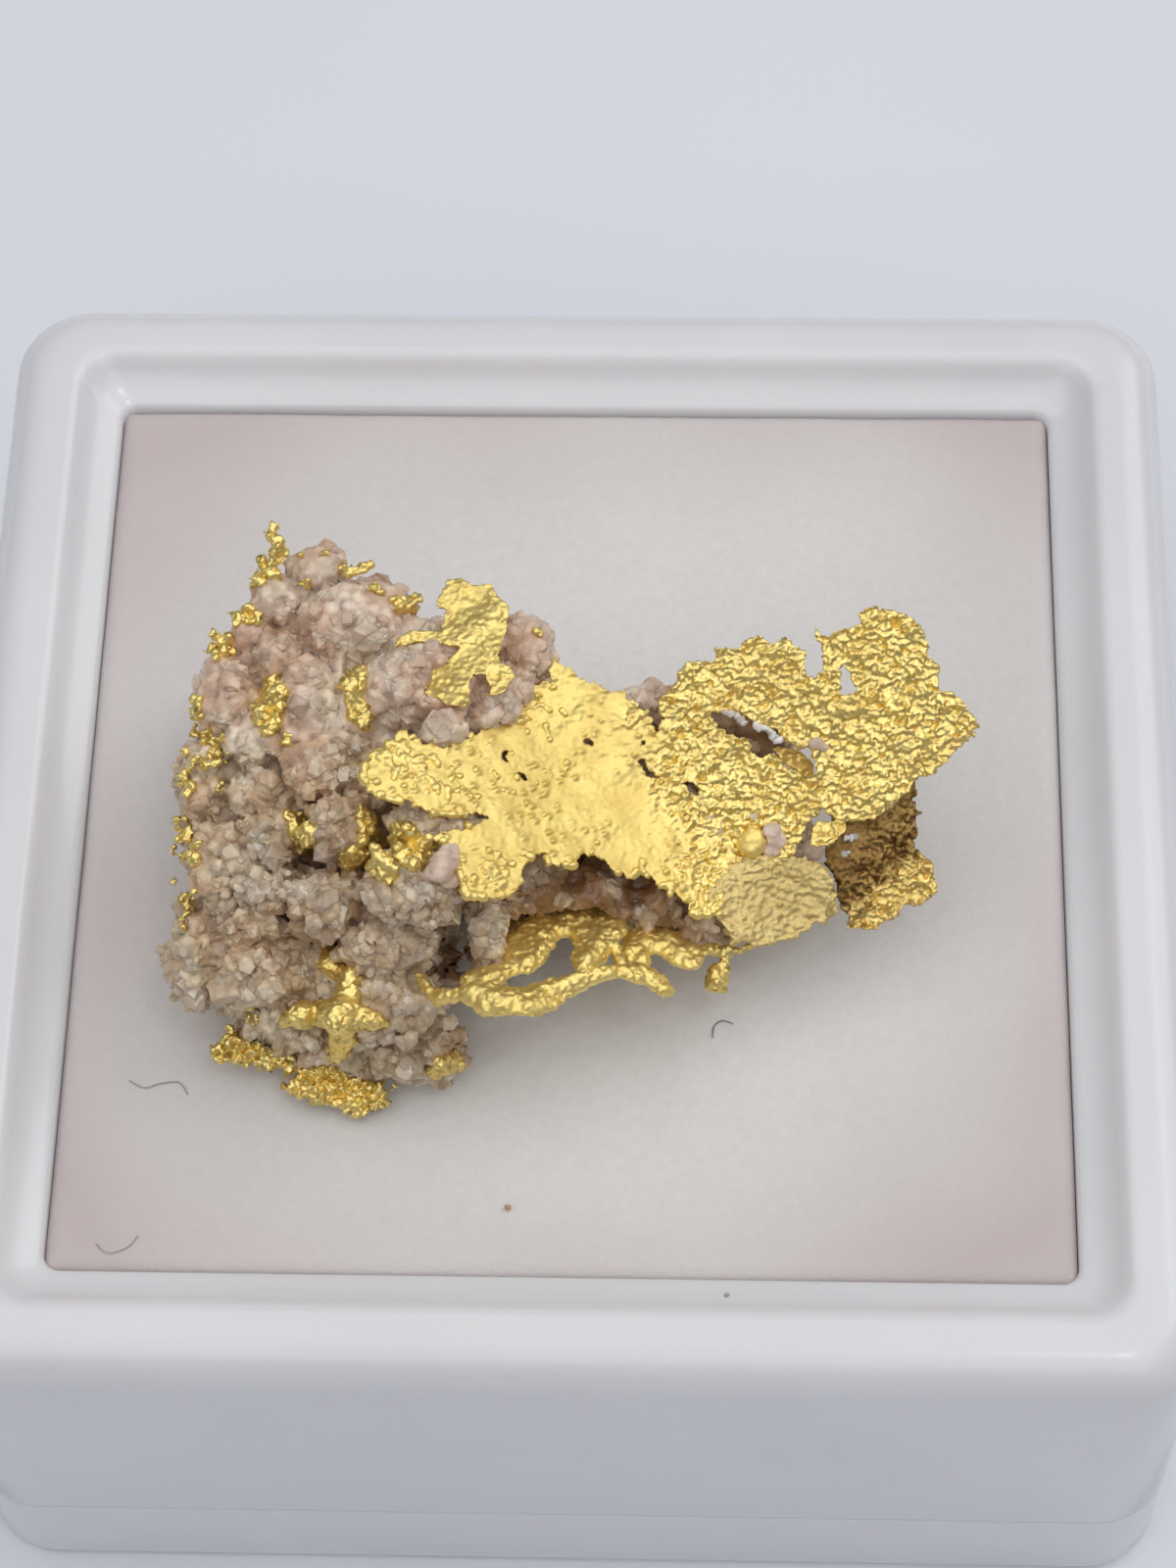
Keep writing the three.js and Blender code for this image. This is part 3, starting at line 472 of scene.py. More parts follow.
# %% Spin a section round a rounded square
BOX_SIDE = 40
BOX_HEIGHT = 18
BOX_CORNER = 2.5
BOX_WALL = 1.5
SEAM_HEIGHT = 5.1
SEAM_BEVEL = 0.15
FOOT_BEVEL = 0.6
RIM_ROUND = 1.5
RIM_FLAT = 0.75
RIM_DROP = 1.2
PAD_SIDE = 32.3
PAD_CORNER = 0.6
PAD_THICKNESS = 5
CORNER_STEPS = 10


def corner_radius(half):
    return max(PAD_CORNER, BOX_CORNER - (BOX_SIDE / 2 - half) * 0.5)


def moulding(section):
    bm = bmesh.new()
    points = [bm.verts.new((half, 0, z)) for half, z in section]
    for a, b in zip(points, points[1:]):
        bm.edges.new((a, b))
    columns = 4 * (CORNER_STEPS + 1)
    bmesh.ops.spin(
        bm, geom=bm.verts[:] + bm.edges[:], cent=(0, 0, 0), axis=(0, 0, 1), dvec=(0, 0, 0),
        angle=2 * math.pi, steps=columns, use_merge=True,
    )
    for vert in bm.verts:
        half = math.hypot(vert.co.x, vert.co.y)
        if half < 1e-6:
            continue
        column = round(math.atan2(vert.co.y, vert.co.x) / (2 * math.pi / columns)) % columns
        corner, step = divmod(column, CORNER_STEPS + 1)
        radius = min(corner_radius(half), half)
        turn = (corner + step / CORNER_STEPS) * math.pi / 2
        middle = (corner + 0.5) * math.pi / 2
        side = (half - radius) * math.sqrt(2)
        vert.co.x = side * math.cos(middle) + radius * math.cos(turn)
        vert.co.y = side * math.sin(middle) + radius * math.sin(turn)
    bmesh.ops.remove_doubles(bm, verts=bm.verts, dist=1e-4)
    bmesh.ops.recalc_face_normals(bm, faces=bm.faces)
    return bm


def quarter(x, z, radius, start, end, steps):
    turns = [math.radians(start + (end - start) * i / steps) for i in range(steps + 1)]
    return [(x + radius * math.cos(t), z + radius * math.sin(t)) for t in turns]


# %% [markdown]
# ### Tray and base
#
# The tray's rim is rounded outside, flat for less than a millimetre on top, and falls in a
# soft hollow curve to the pad. Every edge of the real moulding has a small radius that
# catches a line of light, so none is left sharp. A thin seam parts the tray from the base.

# %% Tray and base
outer = BOX_SIDE / 2
inside = outer - BOX_WALL
pocket = PAD_SIDE / 2
pad_top = BOX_HEIGHT - RIM_DROP
pocket_floor = pad_top - PAD_THICKNESS
lip = outer - RIM_ROUND - RIM_FLAT
fall = lip - pocket

tray = moulding([
    (0, pocket_floor - BOX_WALL),
    (inside, pocket_floor - BOX_WALL),
    (inside, SEAM_HEIGHT),
    *quarter(outer - SEAM_BEVEL, SEAM_HEIGHT + SEAM_BEVEL, SEAM_BEVEL, -90, 0, 4),
    *quarter(outer - RIM_ROUND, BOX_HEIGHT - RIM_ROUND, RIM_ROUND, 0, 90, 12),
    (lip + 0.2, BOX_HEIGHT),
    (lip, BOX_HEIGHT - 0.02),
    (lip - fall * 0.12, BOX_HEIGHT - RIM_DROP * 0.12),
    (lip - fall * 0.25, BOX_HEIGHT - RIM_DROP * 0.34),
    (lip - fall * 0.42, BOX_HEIGHT - RIM_DROP * 0.58),
    (lip - fall * 0.6, BOX_HEIGHT - RIM_DROP * 0.76),
    (lip - fall * 0.8, BOX_HEIGHT - RIM_DROP * 0.89),
    (pocket + 0.15, BOX_HEIGHT - RIM_DROP * 0.96),
    (pocket + 0.03, pad_top - 0.05),
    (pocket, pad_top - 0.2),
    (pocket, pocket_floor),
    (0, pocket_floor),
])
base = moulding([
    (0, 0),
    (outer - FOOT_BEVEL, 0),
    *quarter(outer - FOOT_BEVEL, FOOT_BEVEL, FOOT_BEVEL, -80, 0, 6),
    *quarter(outer - SEAM_BEVEL, SEAM_HEIGHT - SEAM_BEVEL, SEAM_BEVEL, 0, 90, 4),
    (inside, SEAM_HEIGHT),
    (inside, BOX_WALL),
    (0, BOX_WALL),
])
for bm in (tray, base):
    bmesh.ops.translate(bm, vec=(0, 0, -PAD_TOP), verts=bm.verts)
finish_piece("tray_moulding", tray, white_plastic, ["box_tray"], sharp=50)
finish_piece("base_moulding", base, white_plastic, ["box_base"], sharp=50)

# %% [markdown]
# ## Pad
#
# The pad is a slab of soft foam pressed into the tray. Its edges roll over a little where they
# meet the plastic, and its face is slightly uneven. A fine grid gives the face real relief,
# and the rim of the slab is pulled down with a smooth falloff. The edge of the grid is then
# extruded down to make the walls. It is foam, not a filled cover, so it is shaped directly
# and needs no cloth simulation.

# %% Pad
PAD_CLEARANCE = 0.04
PAD_CELLS = 150
ROLL_WIDTH = 0.7
ROLL_DEPTH = 0.3
EDGE_SHADE_WIDTH = 4.5

pad_half = PAD_SIDE / 2 - PAD_CLEARANCE


def roll_down(distance):
    """How far the face sinks at this distance from the pad's edge, in mm."""
    near = max(0.0, 1 - distance / ROLL_WIDTH)
    return ROLL_DEPTH * near ** 2.5


def painted_edge_shade(x, y):
    """Painted shade: the foam is a little darker towards its edges, most of all at the right and the left."""
    to_right = pad_half - x + 0.1 * (y + pad_half)
    from_edge = [pad_half + x + 1, to_right, pad_half - y + 1.2, pad_half + y + 2.6]
    drift = wander(x, y, 0.15, 6.0) * 1.2
    return min(1.0, sum(math.exp(-max(0.0, gap + drift) / EDGE_SHADE_WIDTH) for gap in from_edge))


pad = bmesh.new()
bmesh.ops.create_grid(pad, x_segments=PAD_CELLS, y_segments=PAD_CELLS, size=pad_half)
for vert in pad.verts:
    x, y = vert.co.x, vert.co.y
    grain = wander(x, y, 2.6, 3.0) * 0.02
    broad = wander(x, y, 0.35, 9.0) * 0.05
    vert.co.z = grain + broad - 0.05 - roll_down(pad_half - max(abs(x), abs(y)))
walls = bmesh.ops.extrude_edge_only(pad, edges=[e for e in pad.edges if e.is_boundary])
foot = [v for v in walls["geom"] if isinstance(v, bmesh.types.BMVert)]
for vert in foot:
    vert.co.z = -PAD_THICKNESS
bmesh.ops.holes_fill(pad, edges=[e for e in pad.edges if e.is_boundary])
bmesh.ops.recalc_face_normals(pad, faces=pad.faces)
# Painted shade towards the pad's edges.
edge_shades = [painted_edge_shade(v.co.x, v.co.y) for v in pad.verts]
pad_piece = finish_piece("foam_pad", pad, pad_foam, ["pad"], {"margin": edge_shades}, sharp=70)

# %% [markdown]
# ## Outlines that answer questions
#
# A leaf of gold is drawn as a loop of points with other loops for its holes. To cut a fine
# grid to that shape, the script has to ask whether a point is inside, and how far the edge
# is. The loops are filled with triangles once, and a search tree answers both quickly.

# %% An outline with holes


MARK_SPACING = 0.06


class Outline:
    """A flat shape from a loop of points and the loops of its holes, in mm on the pad's top."""

    def __init__(self, loop, holes=()):
        bm = bmesh.new()
        for ring in (loop, *holes):
            verts = [bm.verts.new((x, y, 0)) for x, y in ring]
            for i, vert in enumerate(verts):
                bm.edges.new((vert, verts[i - 1]))
        bmesh.ops.triangle_fill(bm, use_beauty=True, edges=bm.edges[:])
        self.tree = BVHTree.FromBMesh(bm)
        bm.free()
        marks = []
        for ring in (loop, *holes):
            for i, end in enumerate(ring):
                start, stop = Vector(ring[i - 1]), Vector(end)
                count = max(1, math.ceil((stop - start).length / MARK_SPACING))
                marks += [start.lerp(stop, k / count).to_3d() for k in range(count)]
        self.edge = search_tree(marks)
        xs, ys = zip(*loop)
        self.low, self.high = (min(xs), min(ys)), (max(xs), max(ys))
        self.wide, self.deep = self.high[0] - self.low[0], self.high[1] - self.low[1]
        self.loop = loop

    def holds(self, x, y):
        return self.tree.ray_cast(Vector((x, y, 1)), Vector((0, 0, -1)))[0] is not None

    def edge_distance(self, x, y):
        return self.edge.find(Vector((x, y, 0)))[2]

    def near(self, x, y, margin):
        return (self.low[0] - margin < x < self.high[0] + margin
                and self.low[1] - margin < y < self.high[1] + margin)


# %% [markdown]
# ## The shapes of the leaves
#
# The large leaf runs from a finger on the left to a crinkled plate on the right, and it has a
# slit, a small window and a few pinholes. The others are the olive leaf and its crust, the
# brown leaf under the plate, the upright flag, the two leaves that come forward out of the
# hollow, and two crumpled ones at the foot of the stone. The last loop is a pit in the stone,
# a dark hole beside the front gold.

# %% Loops of the leaves
MAIN = Outline([
    (-6.7, 0.9), (-7.0, 1.5), (-6.9, 2.1), (-6.5, 2.5), (-6.15, 2.75), (-6.0, 3.1), (-5.7, 3.3),
    (-5.45, 2.95), (-5.2, 3.15), (-4.95, 2.75), (-4.2, 2.6), (-3.8, 2.8), (-3.3, 3.15),
    (-2.75, 3.45), (-2.3, 3.85), (-1.75, 4.4), (-1.6, 4.8), (-1.2, 5.15), (-0.75, 5.1), (-0.95, 5.6),
    (-0.85, 6.1), (-0.3, 5.75), (0.3, 5.3), (1.1, 4.9), (1.7, 4.7), (2.4, 4.05), (2.75, 3.35),
    (3.0, 3.8), (2.75, 4.2), (2.8, 4.7), (3.3, 5.0), (3.45, 5.6), (3.7, 5.95), (4.15, 6.05),
    (4.6, 6.0), (4.65, 6.6), (5.35, 6.55), (5.8, 6.95), (6.3, 7.05), (6.55, 6.8), (7.0, 7.0),
    (7.4, 6.7), (7.75, 6.55), (7.6, 6.1), (7.75, 5.55), (8.15, 5.5), (8.3, 5.95), (8.25, 6.6),
    (7.95, 7.4), (8.5, 7.0), (9.0, 7.4), (9.45, 7.55), (9.6, 8.1), (10.1, 8.3), (10.6, 8.1),
    (11.1, 7.95), (11.6, 7.6), (11.8, 7.1), (11.9, 6.3), (12.2, 5.8), (12.2, 5.0), (12.65, 4.9),
    (13.1, 4.35), (13.55, 3.6), (12.9, 2.9), (12.4, 2.3), (11.9, 1.8), (11.4, 1.6),
    (11.0, 1.0), (10.4, 0.4), (9.9, 0.1), (9.3, -0.05), (8.7, 0.0), (8.25, 0.4), (8.0, 0.25),
    (7.7, -0.1), (7.5, -0.7), (7.4, -1.3), (6.9, -1.6), (6.2, -1.7), (5.4, -1.75), (4.8, -2.2),
    (4.9, -3.0), (4.9, -3.5), (4.2, -3.55), (3.85, -3.4), (3.9, -2.95), (3.3, -2.8), (2.9, -2.4),
    (2.4, -2.05), (2.3, -1.45), (2.2, -1.95), (1.9, -2.25), (1.4, -1.9), (1.0, -1.6), (0.7, -1.3),
    (0.4, -1.35), (0.1, -1.75), (-0.75, -1.7), (-0.9, -1.25), (-1.35, -1.45), (-1.6, -2.0),
    (-1.6, -2.5), (-1.9, -2.85), (-2.6, -3.0), (-3.4, -2.9), (-3.6, -2.2), (-3.8, -1.4),
    (-4.2, -0.9), (-4.85, -0.75), (-4.2, -0.6), (-3.5, -0.4), (-2.85, -0.1), (-2.9, 0.1),
    (-3.8, 0.05), (-4.8, 0.15), (-5.4, 0.5), (-6.0, 0.6),
], [
    [(4.6, 4.05), (4.75, 3.5), (5.2, 3.2), (5.7, 3.0), (6.15, 2.35), (6.5, 2.5), (7.0, 2.05),
     (7.6, 1.6), (7.95, 1.6), (8.1, 1.9), (7.85, 2.65), (7.0, 2.95), (6.6, 3.5), (5.9, 3.8), (5.3, 4.1)],
    [(8.9, 4.75), (9.2, 4.75), (9.4, 5.1), (9.2, 5.7), (9.0, 6.0), (8.9, 5.5)],
    [(0.35, 2.75), (0.6, 2.7), (0.65, 2.95), (0.42, 3.0)],
    [(-2.45, 2.4), (-2.3, 2.1), (-2.12, 2.15), (-2.25, 2.5)],
    [(-1.8, 1.6), (-1.72, 1.35), (-1.55, 1.45), (-1.62, 1.68)],
    [(2.15, 2.8), (2.35, 2.8), (2.35, 3.05), (2.2, 3.0)],
    [(2.1, 2.2), (2.25, 1.9), (2.6, 1.55), (2.8, 1.6), (2.55, 1.85), (2.35, 2.3)],
    [(3.65, 1.4), (3.75, 1.1), (4.05, 0.9), (4.15, 1.1), (3.85, 1.4)],
])
OLIVE = Outline([
    (5.2, -1.3), (6.2, -1.1), (7.0, -1.05), (7.6, -1.4), (8.2, -1.6), (8.55, -2.2), (8.65, -2.9),
    (8.8, -3.4), (8.3, -3.6), (7.9, -3.9), (7.55, -4.0), (7.4, -4.25), (6.8, -4.1), (6.2, -4.4),
    (5.6, -4.45), (5.15, -4.5), (5.05, -3.9), (5.0, -3.2), (5.0, -2.2),
])
CRUST = Outline([
    (5.24, -4.65), (5.11, -4.01), (4.79, -3.62), (4.28, -3.31), (4.49, -2.48), (5.03, -1.97), (5.45, -1.6),
    (6.02, -1.31), (6.44, -1.16), (6.99, -1.4), (7.63, -1.32), (8.17, -1.64), (8.65, -2.18), (8.65, -2.75),
    (8.36, -3.36), (8.29, -3.72), (7.62, -4.12), (7.37, -4.34), (6.76, -4.49), (6.04, -4.64), (5.62, -4.57),
])
SHADED = Outline([
    (8.5, 0.3), (9.4, 0.45), (10.2, 0.85), (10.9, 1.4), (11.3, 1.75), (11.35, 1.2), (11.4, 0.4),
    (11.4, -0.4), (11.2, -0.7), (11.5, -1.1), (11.85, -1.6), (11.95, -2.1), (11.85, -2.7), (11.6, -3.05),
    (11.2, -3.05), (10.9, -3.0), (10.8, -3.4), (10.4, -3.6), (10.0, -3.9), (9.4, -3.95), (9.0, -3.95),
    (9.1, -3.5), (8.75, -3.3), (8.7, -2.8), (8.6, -2.1), (8.3, -1.65), (8.35, -1.1), (8.55, -0.8),
    (8.5, -0.2),
], [
    [(8.95, -0.75), (9.2, -0.8), (9.4, -0.55), (9.15, -0.5)],
    [(8.85, -1.25), (9.1, -1.4), (9.1, -1.15)],
])
FLAG = Outline([
    (-4.85, 8.3), (-4.6, 8.85), (-4.55, 9.15), (-4.0, 9.25), (-3.7, 9.0), (-2.9, 8.95),
    (-2.75, 8.55), (-2.35, 8.15), (-2.4, 7.2), (-2.6, 6.4), (-2.6, 6.0), (-2.2, 5.75), (-2.1, 5.4),
    (-2.45, 4.75), (-2.9, 4.6), (-2.9, 5.1), (-3.1, 5.45), (-3.45, 5.45), (-3.6, 5.1), (-3.5, 4.5),
    (-3.7, 4.15), (-4.3, 4.25), (-4.65, 4.5), (-5.1, 4.7), (-4.9, 5.2), (-4.9, 5.6), (-4.4, 5.85),
    (-3.95, 6.5), (-4.6, 6.65), (-5.4, 6.7), (-5.75, 6.5), (-6.15, 6.5), (-6.1, 6.85), (-5.7, 7.1),
    (-4.6, 7.15), (-4.5, 8.0), (-4.75, 8.05),
])
FRONT = Outline([
    (-1.85, -3.55), (-1.0, -3.65), (-0.3, -3.5), (0.3, -3.4), (0.9, -3.3), (1.25, -3.65),
    (1.9, -3.85), (1.85, -4.2), (1.5, -4.7), (1.1, -5.2), (0.8, -5.5), (0.3, -5.5), (0.15, -5.2),
    (0.25, -4.7), (0.1, -4.35), (-0.3, -4.35), (-0.5, -4.75), (-0.75, -5.25), (-1.2, -5.65),
    (-1.8, -5.75), (-2.4, -6.25), (-3.2, -6.3), (-3.5, -6.05), (-3.2, -5.75), (-2.7, -5.55),
    (-2.05, -5.4), (-2.0, -4.8), (-1.9, -4.2),
])
SIDE = Outline([
    (2.0, -4.1), (2.4, -4.0), (3.0, -4.05), (3.6, -4.15), (3.7, -4.5), (4.2, -4.65), (4.8, -4.6),
    (4.85, -4.85), (4.4, -5.0), (4.3, -5.4), (3.9, -5.5), (3.5, -5.35), (3.1, -5.05), (2.8, -4.9),
    (2.55, -5.0), (2.7, -5.4), (2.5, -5.5), (2.0, -5.3), (1.6, -5.0), (1.75, -4.6),
])
FOOT_LEFT = Outline([
    (-11.3, -8.4), (-11.35, -8.9), (-10.5, -8.9), (-10.1, -9.1), (-9.4, -9.25), (-8.75, -9.05),
    (-8.6, -8.85), (-9.0, -8.6), (-9.5, -8.5), (-9.9, -8.15), (-10.2, -8.35), (-10.5, -8.1),
    (-10.85, -7.6), (-10.95, -7.95), (-10.8, -8.2),
])
FOOT_RIGHT = Outline([
    (-9.0, -10.1), (-8.9, -9.8), (-8.5, -9.5), (-8.6, -9.25), (-7.8, -9.05), (-7.3, -9.1),
    (-6.9, -9.4), (-6.2, -9.6), (-5.65, -9.9), (-5.7, -10.35), (-6.2, -10.75), (-6.7, -10.8),
    (-7.2, -10.45), (-7.7, -10.4), (-8.3, -10.1),
])
PIT = Outline([
    (-4.6, -5.85), (-4.1, -5.0), (-4.0, -4.4), (-4.2, -4.0), (-3.6, -4.3), (-3.2, -4.6),
    (-3.0, -5.0), (-3.15, -5.5), (-3.5, -6.0), (-4.0, -6.15),
])
print("large leaf reaches from", MAIN.low, "to", MAIN.high)

# %% [markdown]
# ## Heights of the leaves
#
# Each leaf has its own height function, which gives the height above the pad where the line
# of sight meets it. The large leaf follows the slope of the specimen's face on the right. Past
# a line through its middle it rises more, up to a height where it is nearly level. Simple
# leaves lie on a plane with ripples. The last list holds each leaf that covers stone, with its
# height and its thickness in mm.

# %% Heights
LEAF_THICKNESS = 0.26
LEAF_GAP = 0.16
MAIN_LEAF_TOP = 9.95
RISE_FROM = (-1.5, 5.2)
RISE_WAY = (-0.718, -0.695)
EXTRA_RISE = 0.65


def ripple(x, y, size):
    long = math.sin(x * 1.7 + 0.6 * y) * math.cos(y * 1.3 - 0.4 * x)
    short = math.sin(x * 3.9 + 2.1) * math.sin(y * 3.3 + 1.2 * x)
    return size * (0.6 * long + 0.4 * short)


def eased(past, roundness):
    """0 where past is negative and past itself where it isn't, with a rounded turn between."""
    return 0.5 * (past + math.sqrt(past * past + roundness))


def tilted(height, rise, at_y, size):
    """The height function of a leaf that lies on a plane, with ripples of this size."""
    return lambda x, y: height + rise * (y - at_y) + ripple(x, y, size)


def main_height(x, y):
    past = (x - RISE_FROM[0]) * RISE_WAY[0] + (y - RISE_FROM[1]) * RISE_WAY[1]
    free = slope_at(y) + EXTRA_RISE * eased(past, 1.2)
    return free - eased(free - MAIN_LEAF_TOP, 0.8) + ripple(x, y, 0.06)


def olive_height(x, y):
    return min(slope_at(y) + ripple(x, y, 0.12), main_height(x, y) - LEAF_THICKNESS - LEAF_GAP)


def crust_height(x, y):
    return main_height(x, y) + 0.08 - 0.1 * max(0.0, -2 - y)


def shaded_height(x, y):
    return min(slope_at(y) - 0.15 + ripple(x + 3, y, 0.16), main_height(x, y) - LEAF_THICKNESS - LEAF_GAP)


def flag_height(x, y):
    return 9.35 + 0.1 * max(0, 6 - y) + ripple(x, y, 0.15)


def side_height(x, y):
    return 3.5 - 0.6 * (y + 4) - 0.12 * (x - 2) + ripple(x, y, 0.1)


front_height = tilted(4.0, -0.75, -3.5, 0.12)
foot_left_height = tilted(1.2, 0.5, -9, 0.1)
foot_right_height = tilted(0.85, 0.55, -10.2, 0.1)
COVERS = [
    (MAIN, main_height, LEAF_THICKNESS),
    (OLIVE, olive_height, LEAF_THICKNESS),
    (SHADED, shaded_height, LEAF_THICKNESS),
    (FLAG, flag_height, LEAF_THICKNESS),
    (FRONT, front_height, 0.4),
    (SIDE, side_height, 0.36),
    (FOOT_LEFT, foot_left_height, 0.3),
    (FOOT_RIGHT, foot_right_height, 0.32),
]
print("the large leaf is", round(main_height(0, 1), 2), "mm above the pad near its middle")

# %% [markdown]
# ## The stone
#
# Quartz grew here as round lumps that run into each other, some nearly smooth and some covered
# with small crystals. One ball for each lump is added, and a voxel remesh welds the balls into
# a single skin with even faces. The lumps that are seen are listed at the place where the eye
# sees them, and larger ones fill the stone behind and below them.

# %% Lumps of the stone
SEEN_LUMPS = [
    (-9.0, 9.35, 8.9, 1.1, 0.9, 1.0), (-10.1, 8.35, 8.5, 1.0, 0.95, 1.0), (-7.6, 7.3, 8.0, 2.1, 1.6, 1.6),
    (-11.1, 6.7, 7.9, 0.8, 0.75, 0.8), (-10.0, 6.0, 7.9, 1.1, 1.1, 1.0), (-11.5, 4.4, 6.9, 1.15, 1.75, 1.5),
    (-9.1, 4.5, 7.7, 1.1, 1.7, 1.2), (-10.6, 2.7, 6.9, 1.3, 1.2, 1.2), (-5.9, 6.7, 8.0, 1.2, 1.0, 1.0),
    (-5.0, 4.9, 8.3, 2.3, 1.5, 1.2), (-2.8, 4.4, 8.0, 1.4, 1.3, 1.0), (-1.75, 6.3, 7.5, 1.0, 1.0, 1.1),
    (-4.4, 3.1, 8.5, 0.9, 0.7, 0.8), (-8.4, 1.6, 7.4, 1.4, 1.1, 1.0), (-10.3, 0.8, 6.6, 1.3, 1.1, 1.0),
    (-12.0, 1.1, 5.7, 1.1, 2.0, 1.5), (-11.4, -1.6, 5.2, 1.3, 2.1, 1.5), (-9.8, -0.8, 6.2, 1.1, 1.2, 1.1),
    (-9.9, -2.7, 5.3, 1.5, 1.1, 1.2), (-7.6, -0.5, 7.0, 1.1, 1.2, 1.2), (-11.9, -5.0, 3.3, 1.1, 2.0, 1.8),
    (-10.3, -4.2, 4.5, 1.3, 1.0, 1.2), (-7.6, -3.3, 5.8, 1.5, 1.3, 1.3), (-10.0, -6.0, 3.4, 1.9, 1.4, 1.8),
    (-8.9, -7.6, 2.3, 1.6, 1.1, 1.6), (-5.9, -4.7, 5.2, 1.6, 1.2, 1.5), (-5.2, -2.7, 6.9, 1.7, 1.3, 1.4),
    (-4.5, -0.5, 7.5, 1.6, 1.1, 1.1), (-5.8, -7.0, 3.4, 1.9, 1.4, 1.8), (-5.0, -8.3, 1.9, 1.8, 1.2, 1.6),
    (-7.3, -8.7, 1.3, 1.7, 0.9, 1.2), (2.6, 4.1, 6.0, 1.2, 0.8, 1.0), (5.4, 3.2, 5.1, 1.8, 1.0, 1.1),
    (-1.2, -2.6, 4.5, 1.6, 1.5, 1.8), (0.9, -2.9, 3.9, 1.6, 1.4, 1.6), (2.8, -2.9, 3.5, 1.5, 1.4, 1.5),
    (4.1, -3.9, 2.7, 1.2, 0.9, 1.5), (-2.45, -4.4, 4.4, 0.8, 1.3, 1.8), (6.4, -0.3, 4.0, 1.5, 1.5, 1.4),
]
HIDDEN_LUMPS = [
    (-7.6, 0.0, 4.0, 4.3, 4.6, 4.6), (-7.6, -5.4, 1.5, 4.3, 4.2, 3.4), (-1.6, -0.9, 3.0, 3.8, 4.0, 4.0),
    (2.8, -1.5, 2.2, 5.0, 3.6, 3.5), (-9.4, 2.9, 2.6, 2.4, 2.4, 3.6), (-4.6, 2.7, 2.6, 3.2, 2.4, 4.0),
]


def lump_list():
    for x, y, z, *radii in SEEN_LUMPS:
        yield lift(x, y, z), radii
    for x, y, z, *radii in HIDDEN_LUMPS:
        yield Vector((x, y, z)), radii


def remeshed(bm, voxel):
    """Weld whatever is in bm into one closed skin with faces of this size."""
    mesh = mesh_from("working", bm)
    thing = new_object("working", mesh)
    weld = thing.modifiers.new("weld", "REMESH")
    weld.mode = "VOXEL"
    weld.voxel_size = voxel
    depsgraph = bpy.context.evaluated_depsgraph_get()
    welded = bpy.data.meshes.new_from_object(thing.evaluated_get(depsgraph))
    result = bmesh.new()
    result.from_mesh(welded)
    bpy.data.objects.remove(thing)
    bpy.data.meshes.remove(mesh)
    bpy.data.meshes.remove(welded)
    return result


def pour(part, whole):
    """Move one working mesh into another. Balls are added faster to a small mesh than to a large one."""
    mesh = bpy.data.meshes.new("working")
    part.to_mesh(mesh)
    part.clear()
    whole.from_mesh(mesh)
    bpy.data.meshes.remove(mesh)


STONE_VOXEL = 0.12
LUMPS = list(lump_list())
stone = bmesh.new()
for centre, radii in LUMPS:
    bmesh.ops.create_icosphere(stone, subdivisions=3, radius=1, matrix=placed(centre, radii))
stone = remeshed(stone, STONE_VOXEL)
print("welded stone:", len(stone.verts), "vertices")

# %% [markdown]
# ## The skin of the stone
#
# Every vertex of the stone is pushed along its normal. Cells of a pattern give it flat facets,
# each with its own tilt, and low domes of 0.6 mm. The joins of the lumps are pushed in, which
# leaves crevices. Where a leaf of gold lies over the stone the skin is pressed down under it,
# and the pit is pressed in deeply. The vertices that stay open are kept as the places where
# small crystals may grow: on sugary ground or on smooth ground.

# %% Patterns for the stone's skin


def sugary(x, y):
    """0 on the smooth upper lumps, 1 where the stone is covered with crystals."""
    drift = wander(x, y, 0.5, 4.0) * 1.6
    return clamp((3.3 + drift - y) / 1.6)


def cells(point, size, seed):
    """Rounded cells of this size: 0 between them and about 1 at their middles."""
    distances, _ = noise.voronoi(point / size + Vector((seed, seed, seed)))
    return max(0.0, 1 - distances[0] * 1.25)


def facets(point, size, tilt, seed):
    """Flat facets of this size, each tilted its own way, as a height in mm."""
    place = point / size + Vector((seed, seed, seed))
    _, middles = noise.voronoi(place)
    lean = noise.noise_vector(middles[0] * 7.3)
    return size * tilt * ((place - middles[0]).dot(lean) + 0.4 * lean.z)


CREVICE_WIDTH = 0.11


def crevice(point):
    """1 on the joins of two lumps, falling to 0 within a quarter of a millimetre."""
    near = sorted(
        Vector((a / r for a, r in zip(point - centre, radii))).length
        for centre, radii in LUMPS[:len(SEEN_LUMPS)]
    )
    return math.exp(-(near[1] - near[0]) / CREVICE_WIDTH)


# Each spot is x, y, reach in mm and strength. Most are iron stains; the spots in the hollow under the large
# leaf and in the pit are painted shade.
IRON_STAINS_AND_SHADE = [
    (-9.1, -1.4, 1.5, 0.55), (-8.0, -0.9, 1.1, 0.5), (-7.2, -3.0, 1.6, 0.55), (-9.0, -3.8, 1.1, 0.5),
    (-5.6, -7.4, 1.4, 0.4), (-4.4, -8.3, 1.3, 0.45), (0.6, -2.6, 2.4, 0.95), (3.0, -2.9, 1.6, 0.8),
    (-1.4, -3.0, 1.2, 0.45), (-10.2, 7.2, 0.5, 0.7), (-3.6, -5.2, 1.0, 0.95), (3.9, 3.9, 1.8, 0.75),
    (-7.6, 2.6, 0.9, 0.4), (-5.2, -3.6, 1.3, 0.3), (5.8, 2.9, 1.4, 0.9), (-4.9, -5.2, 1.2, 0.4),
]


def iron_stain_and_shade(x, y):
    total = 0.0
    for at_x, at_y, reach, amount in IRON_STAINS_AND_SHADE:
        off = math.hypot(x - at_x, y - at_y) / reach
        total += amount * max(0.0, 1.4 - off * off * 1.4)
    total *= 0.75 + 0.7 * wander(x, y, 1.1, 2.0)
    return clamp(total)


print("stain beside the star", round(iron_stain_and_shade(-5.6, -7.4), 2))

